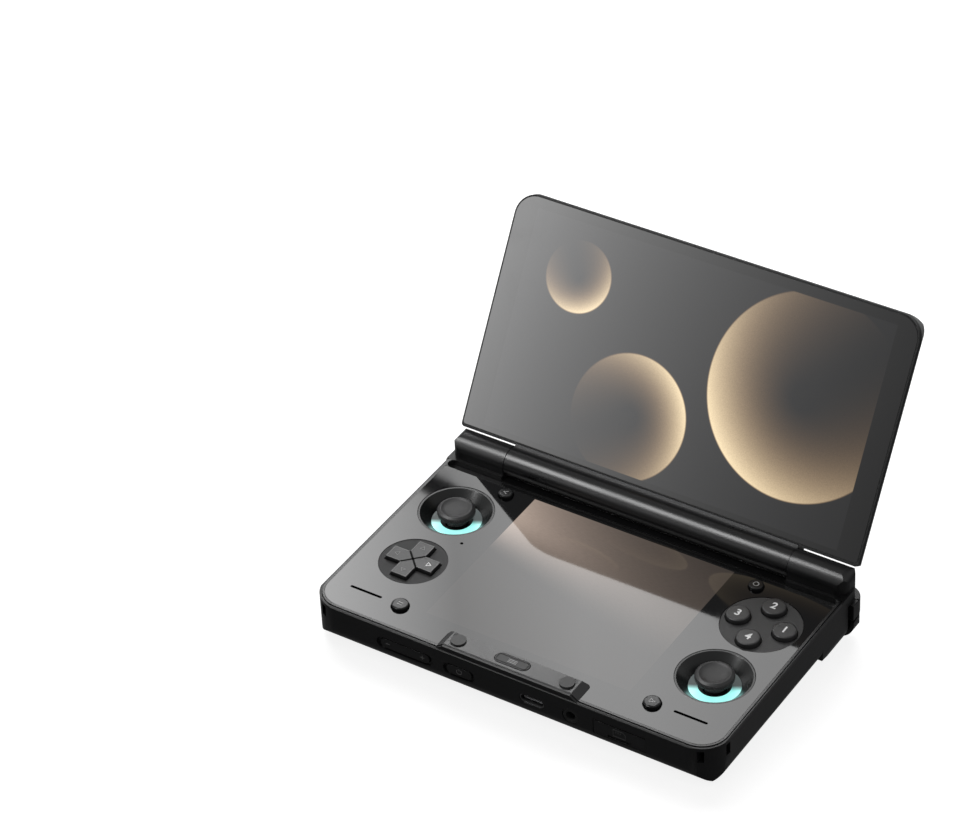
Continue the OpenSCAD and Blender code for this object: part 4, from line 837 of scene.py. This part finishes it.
crossKey = {
    "place": (-55.2, -15.2), "top": 15.7,
    "arrow": (5.5, 6.9, 0.85, 0.2),  # foot, tip, half width and stroke
    "groove": (2.9, 0.7),  # half length and stroke of the dark crossing lines, painted shade in the key's X groove
    "edge": (8.45, 2.68, 0.14),  # length of an arm, half its width and stroke of a pale line, a painted highlight along the key's bevel
}


def crossPlace(sink):
    return (*crossKey["place"], crossKey["top"] - sink)


def printCross():
    foot, point, wide, stroke = crossKey["arrow"]
    for index, angle in enumerate((0, 90, 180, 270)):
        turn = Matrix.Rotation(math.radians(angle), 2)
        tip = [tuple(turn @ Vector(p)) for p in ((point, 0), (foot, wide), (foot, -wide), (point, 0))]
        printStrokes("cross_key.arrow%d" % index, [tip], stroke, crossPlace(0.02), "cross_key",
                     whitePrint if angle == 0 else dimPrintAndHighlight)
    reach, stroke = crossKey["groove"]
    groove = [[(-reach, -reach), (reach, reach)], [(-reach, reach), (reach, -reach)]]
    # black strokes: painted shade in the X groove
    printStrokes("cross_key.groove", groove, stroke, crossPlace(0.03), "cross_key", inkAndGrooveShade)
    # pale outline at the top edge of the arms: a painted highlight on the bevel
    arm, half, stroke = crossKey["edge"]
    edge = [(half, arm), (half, half), (arm, half), (arm, -half), (half, -half), (half, -arm),
            (-half, -arm), (-half, -half), (-arm, -half), (-arm, half), (-half, half), (-half, arm)]
    printStrokes("cross_key.edgeHighlight", [edge + edge[:1]], stroke, crossPlace(0.04), "cross_key", dimPrintAndHighlight)


dress("cross_key", keyPlastic, 0.3, 3)
printCross()
dress("face_plate", wellPlate, 0.08)
dress("cross_plate", darkPlate, 0)  # a bevel would meet the rocking key

menuKey = {
    "place": (0, -42.55, 16.58),
    "frame": (5.5, 1.55, 0.8, 0.22),  # half length, half width, corner and stroke
    "bars": (1.6, 0.6, 0.2),  # half length, pitch and stroke
}


def printMenu():
    place = menuKey["place"]
    wide, high, corner, stroke = menuKey["frame"]
    outline = []
    for turn, (sx, sy) in enumerate(((1, 1), (-1, 1), (-1, -1), (1, -1))):
        cx, cy = sx * (wide - corner), sy * (high - corner)
        outline += [(cx + x, cy + y) for x, y in arc(corner, 90 * turn, 90 * turn + 90, 5)]
    printStrokes("menu_key.outline", [outline + outline[:1]], stroke, place, "menu_key", inkAndGrooveShade)
    reach, pitch, stroke = menuKey["bars"]
    bars = [[(-reach, y), (reach, y)] for y in (-pitch, 0.0, pitch)]
    printStrokes("menu_key.mark", bars, stroke, place, "menu_key", greyPrint)


dress("menu_key", wellPlate, 0.15)
printMenu()
dress("lip_bumpers", softRubber, 0.2, 3)
print("buttons ready")


# keys and ports on the front wall

ports = {
    "height": 7.7,  # z of the whole row
    "volume": (-38, 18.4), "power": -17.6, "keyFace": -46.75,  # x and length, x, y of the outer faces
    "flap": 41.2, "flapFace": -46.85,
    "socket": 9.4,
    "contacts": (10, 0.55, (0.26, 2.4, 0.82), -44.4),  # count, pitch, block and y of their middles
    "stroke": 0.22, "volumeStroke": 0.24,
}
dress("volume_key", sideKey, 0.3, 3)
dress("power_key", sideKey, 0.3, 3)
dress("card_flap", sideKey, 0.12)
dress("data_socket", socketSteel, 0.08)
dress("headphone_socket", innerBlack, 0.1)
volumeX, volumeLong = ports["volume"]
plus = 0.5 * volumeLong - 2.65
volumeMarks = [[(plus - 0.75, 0), (plus + 0.75, 0)], [(plus, 0.75), (plus, -0.75)],
               [(-plus - 0.75, 0), (-plus + 0.75, 0)]]
printStrokes("volume_key.marks", volumeMarks, ports["volumeStroke"],
             (volumeX, ports["keyFace"], ports["height"]), "volume_key", dimPrintAndHighlight, "front")
printStrokes("power_key.mark", [arc(0.95, 125, 415), [(0, 0.35), (0, 1.25)]], ports["stroke"],
             (ports["power"], ports["keyFace"], ports["height"]), "power_key", dimPrintAndHighlight, "front")
card = [[(-2.2, 1.5), (-2.2, -1.1), (2.2, -1.1), (2.2, 0.7), (1.4, 1.5), (-2.2, 1.5)]]
card += [[(x, 1.0), (x, 0.3)] for x in (-1.2, -0.4, 0.4)]
printStrokes("card_flap.mark", card, ports["stroke"],
             (ports["flap"], ports["flapFace"], ports["height"]), "card_flap", fadedPrint, "front")
count, pitch, block, depth = ports["contacts"]
contacts = growPiece("data_socket.contacts", rowTree, brass, {
    "Count": count, "Pitch": pitch * mm, "Block": [size * mm for size in block],
    "Start": ((ports["socket"] - (count - 1) * pitch / 2) * mm, depth * mm, ports["height"] * mm)})
carry(contacts, "base")
print("front wall ready")


# everything inside and underneath

for material, names in [
    (innerBlack, ("lower_display", "upper_display", "fan_housing", "fan_rotor", "speakers", "stick_modules",
                  "left_stick_carriage", "right_stick_carriage", "left_stick_yoke", "right_stick_yoke",
                  "left_stick_post", "right_stick_post")),
    (circuitBoard, ("main_board", "control_boards", "port_board")),
    (steel, ("cross_pivot", "button_pins", "hinge_cartridges", "hinge_shafts")),
    (batteryFoil, ("battery",)),
    (copper, ("heat_sink",)),
    (brass, ("microphone",)),
    (silicone, ("face_membrane",)),
    (socketSteel, ("card_reader",)),
    (flexAmber, ("hinge_flex",)),
]:
    for node in names:
        finishNode(node, material)
dress("feet", innerBlack, 0.3, 3)
dress("case_screws", steel, 0.08)
print("inside ready")


# floor, light and surroundings

studio = {
    "frontFeet": (-36.9, -1.4), "gripFeet": (35.2, -5.8),  # y and z of the two lines it stands on
    "floor": (3000, -0.3, 0.84),  # half size, gap under the feet, white of its own
    "flag": (900, -0.1, 0.15),  # the same for a dark sheet that reflections see in place of the floor
    "deck": (0, 0, 14.6),
    "lamps": [  # name, direction from the deck, distance, size, power, rays that miss it
        ("key", (-0.47, 0.66, 0.60), 800, (900, 800), 9.8, ("glossy",)),
        ("top", (-0.45, -0.35, 0.82), 800, (260, 420), 13.0, ("diffuse",)),
        ("side", (0.85, -0.35, 0.25), 900, (500, 400), 1.2, ("glossy",)),
    ],
    "ambient": 0.22,
    # reflector cards that only the glass and gloss see: centre, size, axis across, facing
    "deckCard": ((-368.7, 577.6, 598.0), (320, 240), (0.843, 0.538, 0.0), (0.410, -0.642, -0.648)),
    "lidCard": ((-363.8, -704.8, 346.7), (300, 240), (-0.904, 0.427, 0.0), (0.404, 0.856, -0.321)),
    # strength across the deck's card, and a dark bar on it: centre, axis, half length and half width
    "deckSteps": [(-140, 12.7), (-95, 8.9), (-70, 6.5), (0, 9.3), (30, 9.3), (100, 7.6)],
    "deckBar": ((-80, -60), (0.83, 0.56), 22.5, 7),
    "lidRise": (3.6, 10.0, 12.0),  # strength in the middle, rise per metre, limit
}


def whiteForCamera(tree):
    path = addNode(tree, "ShaderNodeLightPath").outputs
    return calc(tree, "MAXIMUM", calc(tree, "MAXIMUM", path["Is Camera Ray"], path["Is Glossy Ray"]),
                path["Is Transmission Ray"])


def squareMesh(name, width, height, level):
    # half width and half height in mm, level(y) gives the z of a corner
    corners = [(-width, -height), (width, -height), (width, height), (-width, height)]
    mesh = bpy.data.meshes.new(name)
    mesh.from_pydata([(x * mm, y * mm, level(y) * mm) for x, y in corners], [], [(0, 1, 2, 3)])
    return mesh


def floorMesh(name, size, lift):
    # a square under the lines of the feet
    (y0, z0), (y1, z1) = studio["frontFeet"], studio["gripFeet"]
    slope = (z1 - z0) / (y1 - y0)
    return squareMesh(name, size, size, lambda y: z0 + (y - y0) * slope + lift)


def plainMaterial(name, shader):
    # a material of one shader node, for what isn't part of the object
    material = bpy.data.materials.new(name)
    material.use_nodes = True
    tree = material.node_tree
    tree.nodes.clear()
    node = tree.nodes.new(shader)
    link(tree, node.outputs[0], tree.nodes.new("ShaderNodeOutputMaterial").inputs["Surface"])
    return material, node


def hideFrom(obj, *rays):
    for ray in rays:
        setattr(obj, "visible_" + ray, False)


def makeFlag():
    size, lift, strength = studio["flag"]
    material, dark = plainMaterial("darkFlag", "ShaderNodeEmission")
    dark.inputs["Strength"].default_value = strength
    flag = addObject("darkFlag", floorMesh("darkFlag", size, lift), material)
    hideFrom(flag, "camera", "diffuse", "shadow", "transmission")


def makeFloor():
    size, lift, white = studio["floor"]
    material, both = plainMaterial("paleFloor", "ShaderNodeAddShader")
    tree = material.node_tree
    matt = tree.nodes.new("ShaderNodeBsdfDiffuse")
    paper = noise(tree, addNode(tree, "ShaderNodeTexCoord").outputs["Object"], 300)
    link(tree, mixColour(tree, paper, (0.34, 0.34, 0.34, 1), (0.36, 0.36, 0.36, 1)), matt.inputs["Color"])
    glow = tree.nodes.new("ShaderNodeEmission")
    link(tree, calc(tree, "MULTIPLY", whiteForCamera(tree), white), glow.inputs["Strength"])
    link(tree, matt.outputs[0], both.inputs[0])
    link(tree, glow.outputs[0], both.inputs[1])
    addObject("floor", floorMesh("floor", size, lift), material)


def makeLamps():
    aim = Vector(studio["deck"]) * mm
    for name, direction, distance, size, power, missing in studio["lamps"]:
        data = bpy.data.lights.new(name, "AREA")
        data.shape = "RECTANGLE"
        data.size, data.size_y = size[0] * mm, size[1] * mm
        data.energy = power
        lamp = bpy.data.objects.new(name, data)
        scene.collection.objects.link(lamp)
        lamp.location = aim + Vector(direction).normalized() * distance * mm
        lamp.rotation_euler = Vector(direction).to_track_quat("Z", "Y").to_euler()
        hideFrom(lamp, "camera", *missing)


def makeCard(name):
    centre, (width, height), across, facing = studio[name]
    material, glow = plainMaterial(name, "ShaderNodeEmission")
    tree = material.node_tree
    card = addObject(name, squareMesh(name, width / 2, height / 2, lambda y: 0), material)
    x, z = Vector(across).normalized(), Vector(facing).normalized()
    turn = Matrix((x, z.cross(x), z)).transposed().to_4x4()
    card.matrix_world = Matrix.Translation(Vector(centre) * mm) @ turn
    hideFrom(card, "camera", "diffuse", "shadow", "transmission")
    place = addNode(tree, "ShaderNodeTexCoord").outputs["Object"]
    return tree, place, glow.inputs["Strength"]


def makeDeckCard():
    tree, place, strength = makeCard("deckCard")
    across = splitVector(tree, place)[0]
    steps = studio["deckSteps"]
    level = steps[0][1]
    for (x0, value0), (x1, value1) in zip(steps, steps[1:]):
        rise = rangeOf(tree, across, x0 * mm, x1 * mm, 0.0, value1 - value0, "LINEAR")
        level = calc(tree, "ADD", level, rise)
    (cx, cy), (ax, ay), long, wide = studio["deckBar"]
    away = vectorCalc(tree, "SUBTRACT", place, (cx * mm, cy * mm, 0))
    along = calc(tree, "ABSOLUTE", vectorCalc(tree, "DOT_PRODUCT", away, (ax, ay, 0)))
    beside = calc(tree, "ABSOLUTE", vectorCalc(tree, "DOT_PRODUCT", away, (-ay, ax, 0)))
    bar = calc(tree, "MULTIPLY", rangeOf(tree, along, long * mm, (long - 1) * mm),
               rangeOf(tree, beside, wide * mm, (wide - 1) * mm))
    link(tree, calc(tree, "MULTIPLY", level, calc(tree, "SUBTRACT", 1.0, bar)), strength)


def makeLidCard():
    tree, place, strength = makeCard("lidCard")
    middle, rise, limit = studio["lidRise"]
    growth = calc(tree, "EXPONENT", calc(tree, "MULTIPLY", splitVector(tree, place)[0], rise))
    link(tree, calc(tree, "MINIMUM", calc(tree, "MULTIPLY", growth, middle), limit), strength)


def makeWorld():
    world = bpy.data.worlds.new("surroundings")
    scene.world = world
    world.use_nodes = True
    tree = world.node_tree
    background = tree.nodes["Background"]
    background.inputs["Color"].default_value = (1, 1, 1, 1)
    strength = rangeOf(tree, whiteForCamera(tree), 0.0, 1.0, studio["ambient"], 1.0, "LINEAR")
    link(tree, strength, background.inputs["Strength"])


makeFloor()
makeFlag()
makeLamps()
makeDeckCard()
makeLidCard()
makeWorld()
scene.view_settings.view_transform = "Standard"
print("studio ready")
